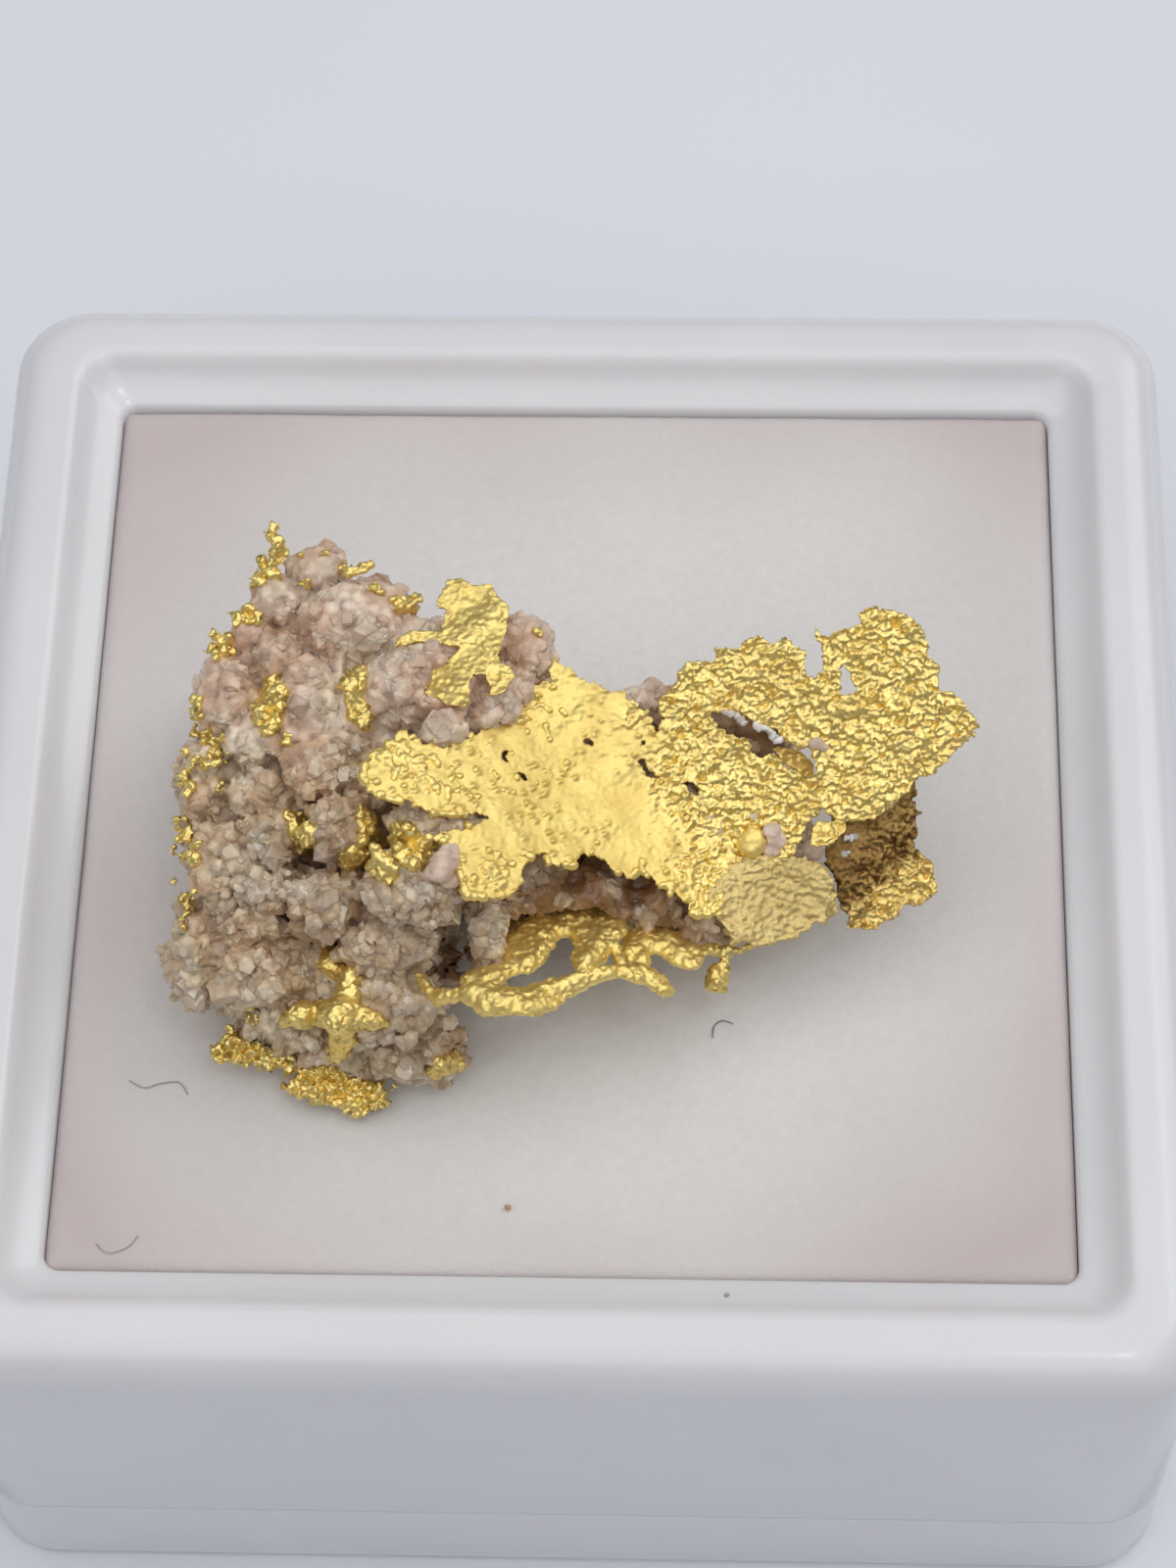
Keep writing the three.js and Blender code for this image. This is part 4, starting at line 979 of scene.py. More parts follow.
# %% Shape the stone's skin
UNDER_LEAF = 0.1
PIT_FLOOR = 1.6
PIT_WALL = 0.3
CREVICE_DEPTH = 0.34
LOWEST_STONE = -0.03
LOWEST_CRYSTAL = 0.4


def pressed(point):
    """The point itself, or a lower one on its line of sight where a leaf or the pit needs it."""
    x, y = seen(point)
    height = point.z
    for outline, top, thickness in COVERS:
        if outline.near(x, y, 0.1) and outline.holds(x, y):
            height = min(height, top(x, y) - thickness * 0.6 - UNDER_LEAF)
    if PIT.near(x, y, 0) and PIT.holds(x, y):
        depth = min(1.0, PIT.edge_distance(x, y) / PIT_WALL)
        height = min(height, point.z + (PIT_FLOOR - point.z) * depth)
    return lift(x, y, height) if height < point.z else point


stone.normal_update()
open_spots, smooth_spots = [], []
for vert in stone.verts:
    x, y = seen(vert.co)
    sugar = sugary(x, y)
    coarse = noise.noise(vert.co * 0.9 + Vector((5, 5, 5))) * 0.16
    push = coarse + facets(vert.co, 1.2, 0.28, 1.0) + facets(vert.co, 0.55, 0.35 + 0.8 * sugar, 5.0)
    dome = cells(vert.co, 0.6, 9.0)
    push += (0.2 - 0.1 * sugar) * dome * (2 - dome) - 0.12 + noise.noise(vert.co * 4.2) * 0.05
    push -= crevice(vert.co) * CREVICE_DEPTH
    moved = vert.co + vert.normal * push
    vert.co = pressed(moved)
    vert.co.z = max(vert.co.z, LOWEST_STONE)
    if vert.co.z > LOWEST_CRYSTAL and (vert.co - moved).length < 0.001:
        (open_spots if sugar > 0.35 else smooth_spots).append(vert.index)
# Painted shade: the skin is darker where it lies below a smoothed copy, in the crevices.
stone_crevice_shade = cavities(stone, 10, 2.4)
stone_stain_and_shade = [iron_stain_and_shade(*seen(vert.co)) for vert in stone.verts]
stone_sugar = [sugary(*seen(vert.co)) for vert in stone.verts]
stone_tree = BVHTree.FromBMesh(stone)
stone.verts.ensure_lookup_table()
sites, smooth_sites = [
    [(stone.verts[i].co.copy(), stone.verts[i].normal.copy(), stone_crevice_shade[i]) for i in spots]
    for spots in (open_spots, smooth_spots)
]
finish_piece(
    "quartz_stone", stone, stone_quartz, ["matrix"],
    {"hollow": stone_crevice_shade, "stain_and_shade": stone_stain_and_shade, "sugar": stone_sugar},
)

# %% [markdown]
# ## Leaves of gold
#
# Leaf gold grew as a thin sheet between crystals, so it kept their print: some of it is smooth
# with round grains on it, and some is a foil of small bright facets. Its edge is torn. A fine
# grid is cut to the outline. The cut is ragged because each cell is tested at a point that a
# noise has shifted. The edge is smoothed once, the grid is lifted to the leaf's height and
# crumpled, and an extrusion gives it thickness, which tapers towards the edge. The share of
# foil is called "hackly" here, as in the trade: 0 is smooth and 1 is all small facets.

# %% Make a crumpled leaf
LEAF_CELL = 0.054
FOIL_THICKNESS = 0.15
GRID_MARGIN = 0.6
FEWEST_FACES = 60
LEAF_SINK = 0.08
TAPER_WIDTH = 0.35


def crumple(x, y, seed, hackly):
    """Height in mm of the folds, the facets and the round grains on them."""
    point = Vector((x, y, seed))
    broad = noise.turbulence(point * 0.8, 2, True, amplitude_scale=0.5, frequency_scale=2.0) - 0.4
    height = (0.03 + 0.06 * hackly) * broad + noise.noise(point * 5) * 0.012
    height += facets(point, 0.2, 0.1 + 1.7 * hackly, seed)
    height += facets(point, 0.42, 0.05 + 0.45 * hackly, seed + 2)
    grainy = max(0.0, noise.noise(point * 0.7 + Vector((0, 0, 5))) + 0.4) * (1 - hackly)
    height += grainy * 0.4 * max(0.0, cells(point, 0.36, seed) - 0.5)
    return height


def cut_grid(outline, cell, rag, seed):
    bm = bmesh.new()
    wide = outline.wide + GRID_MARGIN
    deep = outline.deep + GRID_MARGIN
    bmesh.ops.create_grid(bm, x_segments=round(wide / cell), y_segments=round(deep / cell), size=0.5)
    middle = Vector(((outline.low[0] + outline.high[0]) / 2, (outline.low[1] + outline.high[1]) / 2, 0))
    bmesh.ops.transform(bm, matrix=placed(middle, (wide, deep, 1)), verts=bm.verts)
    waste = []
    for face in bm.faces:
        centre = face.calc_center_median()
        shift = noise.noise_vector(centre * 2.2 + Vector((0, 0, seed))) * rag
        shift += noise.noise_vector(centre * 5.5 + Vector((0, 0, seed + 3))) * rag * 0.6
        if not outline.holds(centre.x + shift.x, centre.y + shift.y):
            waste.append(face)
    bmesh.ops.delete(bm, geom=waste, context="FACES")
    drop_crumbs(bm, FEWEST_FACES)
    soften(bm, [v for v in bm.verts if v.is_boundary])
    return bm


def drop_crumbs(bm, fewest):
    """Delete islands of fewer faces than this."""
    left = set(bm.faces)
    crumbs = []
    while left:
        island, edge_of = [], [left.pop()]
        while edge_of:
            face = edge_of.pop()
            island.append(face)
            for edge in face.edges:
                for other in edge.link_faces:
                    if other in left:
                        left.remove(other)
                        edge_of.append(other)
        if len(island) < fewest:
            crumbs += island
    bmesh.ops.delete(bm, geom=crumbs, context="FACES")


def gold_leaf(name, outline, height, kind, nodes, seed, hackly, rag=0.16, least=None):
    """hackly is a number or a function of the place, and least adds painted shade to the leaf."""
    material, slot = kind
    bm = cut_grid(outline, LEAF_CELL, rag, seed)
    local_thickness, satin = [], []
    for vert in bm.verts:
        x, y = vert.co.x, vert.co.y
        strength = hackly(x, y) if callable(hackly) else hackly
        near_edge = min(1.0, outline.edge_distance(x, y) / TAPER_WIDTH)
        vert.co = lift(x, y, height(x, y) - LEAF_SINK + crumple(x, y, seed, strength))
        local_thickness.append(FOIL_THICKNESS * (0.45 + 0.55 * near_edge))
        satin.append(max(0.0, 1 - 2.2 * strength))
    hollow = cavities(bm, 5, 8.0, 0.04)
    if least:
        hollow = [min(1.0, depth + least(*seen(vert.co))) for depth, vert in zip(hollow, bm.verts)]
    skin = bm.verts[:]
    top_of = search_tree([vert.co for vert in skin])
    under = bmesh.ops.extrude_face_region(bm, geom=bm.faces[:], use_keep_orig=True)
    lower = [v for v in under["geom"] if isinstance(v, bmesh.types.BMVert)]
    finish = dict(zip(skin, zip(hollow, satin)))
    for vert in lower:
        match = top_of.find(vert.co)[1]
        # Painted shade: the underside of the leaf is a little darker.
        finish[vert] = (min(1.0, hollow[match] + 0.2), satin[match])
        vert.co.z -= local_thickness[match]
    bmesh.ops.recalc_face_normals(bm, faces=bm.faces)
    painted = {"hollow": [finish[v][0] for v in bm.verts], "satin": [finish[v][1] for v in bm.verts]}
    finish_piece(name, bm, material, nodes, painted)


print("a leaf's cells are", LEAF_CELL, "mm wide, and its foil is", FOIL_THICKNESS, "mm thick")

# %% [markdown]
# ## Five leaves
# The left part of the large leaf is smooth, and its plate and upper edge are hackly. The olive
# leaf has a crust of its own that stands a little above it and stands for no solid; both are
# in a duller olive gold, which is painted shade, because this part of the leaf bends down and
# away from the light. The brown leaf gets painted shade from the large leaf above it over all
# but its lower right edge, where bright metal shows.

# %% Cut and crumple the leaves
YELLOW = (yellow_gold, "yellow_gold")
OLIVE_TONE = (olive_gold, "olive_gold")
BROWN = (shaded_gold, "shaded_gold")


def plate_hackly(x, y):
    """The right part of the large leaf and its upper edge are hackly, and the rest is smooth."""
    drift = wander(x, y, 0.9, 8.0) * 1.2
    return clamp((x - 2.4 + 0.25 * (y - 1) + drift) * 0.4, 0.02, 0.48)


def brown_hackly(x, y):
    """The brown leaf is smooth above, and hackly along its lower right edge."""
    return 0.12 + 0.5 * clamp((x - 8.6 - y * 0.9 - 1.6) * 0.7)


def brown_leaf_shade(x, y):
    """Painted shade from the large leaf above darkens the brown leaf, but its lower right edge is lit."""
    drift = wander(x, y, 1.3, 1.0) * 0.8
    return clamp(0.78 - 0.6 * (x - 0.9 * y - 11.7 + drift), 0.05, 0.78)


gold_leaf("gold_main", MAIN, main_height, YELLOW, ["main_leaf"], 1.0, plate_hackly)
gold_leaf("gold_olive", OLIVE, olive_height, OLIVE_TONE, ["olive_leaf"], 4.0, 0.3)
gold_leaf("gold_olive_crust", CRUST, crust_height, OLIVE_TONE, (), 5.0, 0.26)
gold_leaf("gold_shaded", SHADED, shaded_height, BROWN, ["shaded_leaf"], 7.0, brown_hackly, least=brown_leaf_shade)
gold_leaf("gold_flag", FLAG, flag_height, YELLOW, ["flag_leaf"], 9.0, 0.2, rag=0.07)

# %% [markdown]
# ## Ropes, star and grains
#
# The rest of the gold is thick and knotty. It is built like a string of beads: small balls
# overlap along a path or fill an outline, and a voxel remesh welds them. Small tilted facets
# then make the skin hackly, and gold that looks poured is softened first. Beads that lie on
# the stone are dropped onto its finished skin along the line of sight.

# %% Beads welded into knotty gold
BEAD_VOXEL = 0.055
BEAD_STEP = 0.55
BEAD_SINK = 0.12
BATCH = 2000
gold_beads = []


def on_stone(x, y, fallback):
    """The place where the line of sight through (x, y) meets the stone, in mm above the pad."""
    target = lift(x, y, 0.0)
    hit, _, _, _ = stone_tree.ray_cast(EYE, (target - EYE).normalized())
    return hit if hit is not None else lift(x, y, fallback)


def string_of_beads(points, seed):
    """Beads along seen points (x, y, height, radius), in places a little off the line."""
    dice = random.Random(seed)
    beads = []
    for a, b in zip(points, points[1:]):
        start, stop = lift(*a[:3]), lift(*b[:3])
        count = max(1, round((stop - start).length / (BEAD_STEP * min(a[3], b[3]))))
        for i in range(count):
            t = i / count
            radius = (a[3] + (b[3] - a[3]) * t) * dice.uniform(0.8, 1.12)
            off = Vector([dice.uniform(-0.2, 0.2) for _ in range(3)]) * radius
            beads.append((start.lerp(stop, t) + off, radius))
    beads.append((lift(*points[-1][:3]), points[-1][3]))
    return beads


def sheet_of_beads(outline, height, fattest, seed, spacing=0.17):
    """Beads that fill an outline. Near its edge they are as small as it needs to keep its shape."""
    dice = random.Random(seed)
    beads = []
    for column in range(math.ceil(outline.wide / spacing)):
        for row in range(math.ceil(outline.deep / spacing)):
            x = outline.low[0] + (column + dice.uniform(0, 1)) * spacing
            y = outline.low[1] + (row + dice.uniform(0, 1)) * spacing
            if outline.holds(x, y):
                radius = min(fattest, 0.1 + 0.75 * outline.edge_distance(x, y)) * dice.uniform(0.7, 1.0)
                level = height(x, y) - BEAD_SINK + dice.uniform(-0.05, 0.05)
                beads.append((lift(x, y, level), radius))
    return beads


def knotty_gold(name, beads, nodes=(), tilt=0.5, satin=0.3, calm=0):
    """tilt makes the skin hackly, satin makes it dull, and calm counts the softening passes."""
    gold_beads.extend(centre for centre, _ in beads)
    bm, part = bmesh.new(), bmesh.new()
    for centre, radius in beads:
        bmesh.ops.create_icosphere(part, subdivisions=2, radius=radius, matrix=placed(centre))
        if len(part.verts) > BATCH:
            pour(part, bm)
    pour(part, bm)
    bm = remeshed(bm, BEAD_VOXEL)
    soften(bm, bm.verts, calm)
    bm.normal_update()
    for vert in bm.verts:
        push = facets(vert.co, 0.22, tilt, 3.0) + noise.noise(vert.co * 2.4) * 0.03
        vert.co += vert.normal * push
    painted = {"hollow": cavities(bm, 6, 6.0, 0.04), "satin": [satin] * len(bm.verts)}
    finish_piece(name, bm, yellow_gold, nodes, painted)


print("beads are welded with a voxel of", BEAD_VOXEL, "mm")

# %% [markdown]
# ## Gold at the front and the foot
#
# A rope of gold loops over the dark hollow at the front, and two leaves reach out to it from
# below the large leaf. They look poured, so they are softened after the weld. A small ball of
# gold hangs at the end of a stalk on the right. The two crumpled leaves at the foot are all
# small facets. The rope's height above the pad follows a short list of x and height.

# %% Front gold
LOW_ROPE = Outline([
    (-4.85, -5.6), (-4.6, -5.95), (-4.4, -6.25), (-4.0, -6.4), (-3.44, -6.3), (-3.25, -5.8), (-2.8, -5.6),
    (-2.29, -5.49), (-2.03, -5.69), (-2.2, -6.26), (-1.41, -6.32), (-0.57, -5.99), (0.03, -5.85), (0.5, -5.6),
    (1.61, -5.4), (2.46, -5.43), (3.0, -5.73), (3.49, -6.32), (3.33, -6.61), (2.85, -6.3), (2.38, -5.98),
    (1.49, -5.82), (0.77, -6.15), (0.05, -6.51), (-0.38, -6.97), (-1.04, -7.22), (-1.89, -7.13),
    (-2.74, -7.28), (-3.03, -6.9), (-3.49, -6.7), (-4.23, -6.91), (-4.64, -6.35), (-4.95, -5.8),
])
ROPE_HEIGHTS = [
    (-4.9, 4.8), (-4.3, 5.2), (-3.3, 5.8), (-2.2, 6.1), (-0.9, 6.0), (0.0, 5.8), (1.2, 5.2), (3.4, 4.2),
]


def rope_height(x, y):
    for (start, low), (stop, high) in zip(ROPE_HEIGHTS, ROPE_HEIGHTS[1:]):
        if x <= stop:
            return low + (high - low) * (x - start) / (stop - start) + 0.25 * math.sin(2.2 * y + x)
    return ROPE_HEIGHTS[-1][1]


BRANCH = [(1.3, -4.4, 4.6, 0.2), (1.6, -4.9, 4.7, 0.2), (1.75, -5.4, 4.8, 0.2)]
MIDDLE_ARM = [(0.85, -4.9, 5.0, 0.42), (0.6, -5.3, 5.3, 0.36), (0.45, -5.7, 5.5, 0.26)]
DROP = [
    (4.7, -4.85, 3.4, 0.14), (5.15, -4.85, 3.2, 0.18), (5.1, -5.2, 3.1, 0.14), (4.95, -5.45, 2.95, 0.2),
    (4.8, -5.9, 2.8, 0.4),
]
WIRE = [(5.15, -4.85, 3.2, 0.16), (5.6, -4.75, 3.2, 0.09), (6.0, -4.55, 3.3, 0.09)]
POURED = {"satin": 0.8, "calm": 3}
HACKLY = {"tilt": 2.2, "satin": 0}
front_beads = {
    "low_rope": sheet_of_beads(LOW_ROPE, rope_height, 0.3, 2, 0.13),
    "front": sheet_of_beads(FRONT, front_height, 0.3, 11, 0.13) + string_of_beads(MIDDLE_ARM, 6),
    "side": sheet_of_beads(SIDE, side_height, 0.34, 13, 0.14) + string_of_beads(BRANCH, 7),
    "foot_left": sheet_of_beads(FOOT_LEFT, foot_left_height, 0.2, 15),
    "foot_right": sheet_of_beads(FOOT_RIGHT, foot_right_height, 0.22, 17),
}
knotty_gold("gold_low_rope", front_beads["low_rope"], ["low_rope"], **POURED)
knotty_gold("gold_drop", string_of_beads(DROP, 3) + string_of_beads(WIRE, 5), ["drop"], tilt=0.9)
knotty_gold("gold_front", front_beads["front"], ["front_leaf"], **POURED)
knotty_gold("gold_side", front_beads["side"], ["side_leaf"], **POURED)
knotty_gold("gold_foot_left", front_beads["foot_left"], ["base_leaf_left"], **HACKLY)
knotty_gold("gold_foot_right", front_beads["foot_right"], ["base_leaf_right"], **HACKLY)

# %% [markdown]
# ## Knobs on the large leaf
#
# The smooth part of the large leaf carries round grains, most of all on its finger and along
# its torn edge. Beads are set along the left and lower edge and scattered round a few spots,
# and they sink more than half into the leaf. A spot is x, y, spread in mm and number.

# %% Knobs on the large leaf
KNOB_SPACING = 0.2
dice = random.Random(51)
knobs = []
for a, b in zip(MAIN.loop, MAIN.loop[1:] + MAIN.loop[:1]):
    start, stop = Vector(a), Vector(b)
    count = max(1, round((stop - start).length / KNOB_SPACING))
    for i in range(count):
        x, y = start.lerp(stop, (i + dice.random()) / count)
        wanted = x < -3.3 or y < -0.8 and x < 5.2
        if wanted and dice.random() < 0.75 and MAIN.holds(x * 0.99 + 0.03, y * 0.99 + 0.02):
            knobs.append((lift(x, y, main_height(x, y) - 0.16), dice.uniform(0.1, 0.2)))
GRAIN_SPOTS = [
    (-5.7, 2.1, 1.1, 60), (-4.4, 1.3, 1.2, 30), (-2.4, -2.1, 0.9, 30), (-2.4, 1.4, 1.5, 10),
    (1.0, 0.2, 2.6, 4), (3.9, -2.5, 1.0, 50), (-1.3, 3.9, 1.0, 20),
]
for at_x, at_y, spread, count in GRAIN_SPOTS:
    for _ in range(count):
        x, y = dice.gauss(at_x, spread * 0.5), dice.gauss(at_y, spread * 0.5)
        if MAIN.holds(x, y) and MAIN.edge_distance(x, y) > 0.1:
            knobs.append((lift(x, y, main_height(x, y) - 0.13), dice.uniform(0.1, 0.18)))
knotty_gold("gold_main_knobs", knobs, tilt=0.3, satin=0.6, calm=1)

# %% [markdown]
# ## The star
#
# A small branching gold lies on the lower front of the quartz. Its four arms start at one
# point, and each is a string of beads that gets thinner. The arms lie on the stone, but they
# bridge its crevices, so a bead is never far below the slope of the specimen's face. Points
# are x, y and radius.

# %% The star on the lower front
STAR_ARMS = [
    [(-7.2, -7.3, 0.5), (-7.9, -7.25, 0.42), (-8.45, -7.2, 0.4), (-8.9, -7.4, 0.26), (-9.1, -7.55, 0.18)],
    [(-7.2, -7.3, 0.5), (-6.6, -7.35, 0.36), (-6.1, -7.45, 0.24), (-5.85, -7.6, 0.14)],
    [(-7.2, -7.3, 0.5), (-7.05, -6.6, 0.3), (-7.05, -6.0, 0.28), (-7.4, -5.7, 0.32), (-7.75, -5.4, 0.32),
     (-7.75, -5.05, 0.24)],
    [(-7.2, -7.3, 0.5), (-7.15, -7.9, 0.4), (-7.2, -8.4, 0.3), (-7.4, -8.8, 0.18)],
]
star_beads = []
for number, arm in enumerate(STAR_ARMS):
    level = []
    for x, y, radius in arm:
        ground = max(on_stone(x, y, slope_at(y)).z, slope_at(y) - 0.6)
        level.append((x, y, ground + 0.85 * radius, radius * 1.1))
    star_beads += string_of_beads(level, 20 + number)
knotty_gold("gold_star", star_beads, ["star"], tilt=0.8)

# %% [markdown]
# ## Gold at the edges
#
# Grains and spikes of gold stand out of the stone's left and upper edge, where they are seen
# against the pad. Each group of them is a few points, x, y and radius. Every point gets seven
# small beads round it and three spikes, and a thin string of beads joins the points.

# %% Gold that stands out of the edges
EDGE_GOLD = {
    "tuft": [(-10.4, 10.85, 0.34), (-10.4, 10.4, 0.24), (-10.35, 9.95, 0.32), (-10.6, 9.5, 0.3),
             (-10.95, 9.1, 0.3)],
    "edge_gold_1": [(-11.25, 7.8, 0.22), (-11.0, 7.5, 0.24), (-11.5, 7.4, 0.24)],
    "edge_gold_2": [(-12.25, 6.9, 0.2), (-11.95, 6.7, 0.26), (-11.85, 6.3, 0.28), (-12.35, 6.15, 0.24)],
    "edge_gold_3": [(-12.65, 4.15, 0.28), (-12.65, 3.75, 0.22)],
    "edge_ring": [(-12.7, 3.1, 0.2), (-12.35, 2.9, 0.26), (-11.95, 2.6, 0.24), (-11.8, 2.15, 0.26),
                  (-12.05, 1.8, 0.26), (-12.5, 1.8, 0.24), (-12.85, 2.15, 0.22)],
    "edge_gold_4": [(-12.75, 1.3, 0.26), (-12.75, 0.85, 0.26)],
    "edge_gold_5": [(-12.8, -0.5, 0.24), (-12.65, -0.9, 0.3), (-12.45, -1.4, 0.3), (-12.4, -1.8, 0.2)],
    "top_gold_1": [(-6.15, 8.35, 0.22), (-5.8, 8.0, 0.28), (-5.5, 8.35, 0.2)],
    "top_gold_2": [(-7.95, 9.5, 0.28), (-7.5, 9.5, 0.24), (-7.2, 9.65, 0.14)],
}
LOOSE_GOLD = [
    [(-12.5, -3.1, 0.2), (-12.45, -3.5, 0.22), (-12.55, -3.9, 0.16), (-12.6, -4.3, 0.12)],
    [(-13.15, -1.45, 0.14)], [(-13.0, -2.6, 0.12)], [(-12.95, -0.25, 0.12)],
    [(-11.7, 0.8, 0.14), (-11.7, 1.05, 0.12)], [(-9.35, 8.85, 0.2)], [(-6.8, 8.7, 0.16), (-7.0, 8.75, 0.14)],
    [(-8.7, 10.2, 0.14)], [(-9.6, 10.1, 0.14)], [(-1.3, 7.1, 0.16)], [(-9.65, 2.8, 0.2)],
    [(-5.4, -9.85, 0.12)], [(-10.15, -7.2, 0.14), (-10.1, -7.6, 0.18)],
]


def sprouts(points, seed):
    """Beads round each point, on the stone or just beside it, and spikes that leave the stone."""
    dice = random.Random(seed)
    beads = []
    for x, y, radius in points:
        for _ in range(7):
            dx, dy = dice.uniform(-1, 1) * radius, dice.uniform(-1, 1) * radius
            base = slope_at(y) - 0.2
            place = on_stone(x + dx, y + dy, base)
            if place.z < base - 1.5:
                place = lift(x + dx, y + dy, base)
            beads.append((place + Vector((0, 0, 0.1)), radius * dice.uniform(0.3, 0.6)))
        middle = beads[-1][0]
        for _ in range(3):
            way = Vector((dice.uniform(-0.9, 0.3), dice.uniform(-0.4, 0.6), dice.uniform(0, 0.8)))
            way.normalize()
            reach = radius * dice.uniform(1.0, 1.7)
            beads += [(middle + way * reach * k / 4, radius * (0.34 - 0.055 * k)) for k in range(1, 5)]
    thread = [(x, y, slope_at(y) - 0.1, radius * 0.45) for x, y, radius in points]
    return beads + string_of_beads(thread, seed)


for number, (name, points) in enumerate(EDGE_GOLD.items()):
    knotty_gold("gold_" + name, sprouts(points, 40 + number), [name], tilt=0.8)
loose = []
for number, points in enumerate(LOOSE_GOLD):
    loose += sprouts(points, 80 + number)
knotty_gold("gold_loose_grains", loose, tilt=0.8)

# %% [markdown]
# ## Patches on the stone
#
# Gold also fills some of the hollows between the lumps. Beads are scattered over the outline
# of each patch and dropped on the stone's skin, so a patch follows every bump below it.

# %% Patches of gold on the stone
BEADS_PER_SQUARE_MM = 110
PATCHES = {
    "patch_1": [(-10.75, 4.2), (-10.4, 4.55), (-10.3, 5.0), (-9.95, 5.0), (-9.8, 4.6), (-9.9, 4.0),
                (-9.95, 3.3), (-10.3, 3.15), (-10.6, 3.5)],
    "patch_2": [(-7.95, 5.0), (-7.55, 5.2), (-7.3, 5.55), (-7.15, 5.1), (-7.3, 4.6), (-7.0, 4.0), (-6.9, 3.4),
                (-7.2, 3.3), (-7.45, 3.9), (-7.5, 4.5)],
    "patch_3": [(-9.4, -0.1), (-9.1, -0.9), (-8.95, -1.45), (-8.65, -1.5), (-8.45, -0.9), (-8.5, -0.5),
                (-8.95, -0.1)],
    "patch_4": [(-6.95, 0.1), (-6.65, 0.0), (-6.4, -0.8), (-6.2, -1.6), (-5.75, -2.0), (-5.8, -2.5),
                (-6.3, -2.2), (-6.8, -1.65), (-7.45, -1.95), (-7.4, -1.5), (-6.95, -1.2)],
    "patch_5": [(-5.95, -0.5), (-5.4, -0.45), (-5.05, -0.95), (-4.7, -1.0), (-4.7, -1.5), (-5.1, -2.0),
                (-5.7, -1.65)],
    "patch_6": [(-4.35, -9.3), (-3.95, -8.9), (-3.5, -8.6), (-3.35, -9.0), (-3.75, -9.2), (-4.15, -9.4)],
}


def patch_beads(outline, seed):
    dice = random.Random(seed)
    beads = []
    for _ in range(int(outline.wide * outline.deep * BEADS_PER_SQUARE_MM)):
        x = dice.uniform(outline.low[0], outline.high[0])
        y = dice.uniform(outline.low[1], outline.high[1])
        if outline.holds(x, y):
            beads.append((on_stone(x, y, slope_at(y)) + Vector((0, 0, 0.1)), dice.uniform(0.12, 0.27)))
    return beads


for number, (name, loop) in enumerate(PATCHES.items()):
    knotty_gold("gold_" + name, patch_beads(Outline(loop), 60 + number), [name], tilt=1.1)

# %% [markdown]
# ## The small crystals
#
# The middle and the lower left of the stone are a druse: stubby crystals, 0.3 to 0.9 mm wide,
# grown close together. Most are uneven nuggets, balls of 20 flat faces, and some are short
# six-sided prisms that taper. Each points roughly along the stone's normal and sinks into it,
# clear of the gold. The smooth upper lumps get wider grains that sink in deeper. All corners
# are then moved a little by a noise, so no two crystals are alike. Each crystal has a random
# shade, and painted shade makes it darker near the stone's skin.

# %% Druse
DEEPEST_SITE = 0.7
DARKEST_SPOT = 0.6
CLEAR_OF_GOLD = 0.2


def crystal(bm, spot, outward, width, sink, prism, dice):
    """A prism or a nugget that stands on the spot, with the share sink of its length below it."""
    length = width * dice.uniform(0.7, 1.2)
    turn = outward.to_track_quat("Z", "Y").to_matrix().to_4x4()
    uneven = (dice.uniform(0.7, 1.0), dice.uniform(0.8, 1.1), 1)
    place = placed(spot - outward * length * sink, uneven, turn)
    if prism:
        top = width / 2 * dice.uniform(0.3, 0.75)
        bmesh.ops.create_cone(
            bm, cap_ends=True, segments=6, radius1=width / 2, radius2=top, depth=length, matrix=place,
        )
    else:
        stubby = Matrix.Diagonal((width / 2, width / 2, length / 2, 1))
        bmesh.ops.create_icosphere(bm, subdivisions=1, radius=1, matrix=place @ stubby)


def grow(spots, tries, widths, sinks, prisms, foot_shade, seed):
    """Crystals at random spots, with the numbers to paint on their vertices.

    prisms is the share of prisms; the number after it is the painted shade of a crystal where it meets the
    stone's skin.
    """
    dice = random.Random(seed)
    bm, part, shades = bmesh.new(), bmesh.new(), []
    for _ in range(tries):
        spot, outward, depth = spots[dice.randrange(len(spots))]
        width = dice.choice(widths) * dice.uniform(0.85, 1.1)
        # No crystals grow on spots that the iron stains and the painted shade make dark.
        too_dark = iron_stain_and_shade(*seen(spot)) > DARKEST_SPOT
        near_gold = bead_tree.find(spot)[2] < CLEAR_OF_GOLD + width / 2
        if depth > DEEPEST_SITE or outward.z < -0.2 or too_dark or near_gold:
            continue
        if abs(outward.dot((EYE - spot).normalized())) < 0.3:
            spot = spot - outward * width * 0.2
        lean = Vector([dice.uniform(-0.6, 0.6) for _ in range(3)])
        before = len(part.verts)
        sink, prism = dice.uniform(*sinks), dice.random() < prisms
        crystal(part, spot, (outward + lean).normalized(), width, sink, prism, dice)
        shades += [dice.random()] * (len(part.verts) - before)
        if len(part.verts) > BATCH:
            pour(part, bm)
    pour(part, bm)
    for vert in bm.verts:
        vert.co += noise.noise_vector(vert.co * 2.7) * 0.09
    bmesh.ops.recalc_face_normals(bm, faces=bm.faces)
    # Painted shade: a crystal is darker near the stone's skin. A random number also darkens some crystals as
    # a tone of their own.
    depths = [foot_shade - 4 * stone_tree.find_nearest(vert.co)[3] for vert in bm.verts]
    painted = {
        "hollow": [
            min(1.0, max(0.0, depth) + 0.2 * shade * shade) for depth, shade in zip(depths, shades)
        ],
        "stain_and_shade": [
            min(1.0, 0.5 * iron_stain_and_shade(*seen(vert.co)) + 0.3 * shade ** 3)
            for vert, shade in zip(bm.verts, shades)
        ],
    }
    return bm, painted


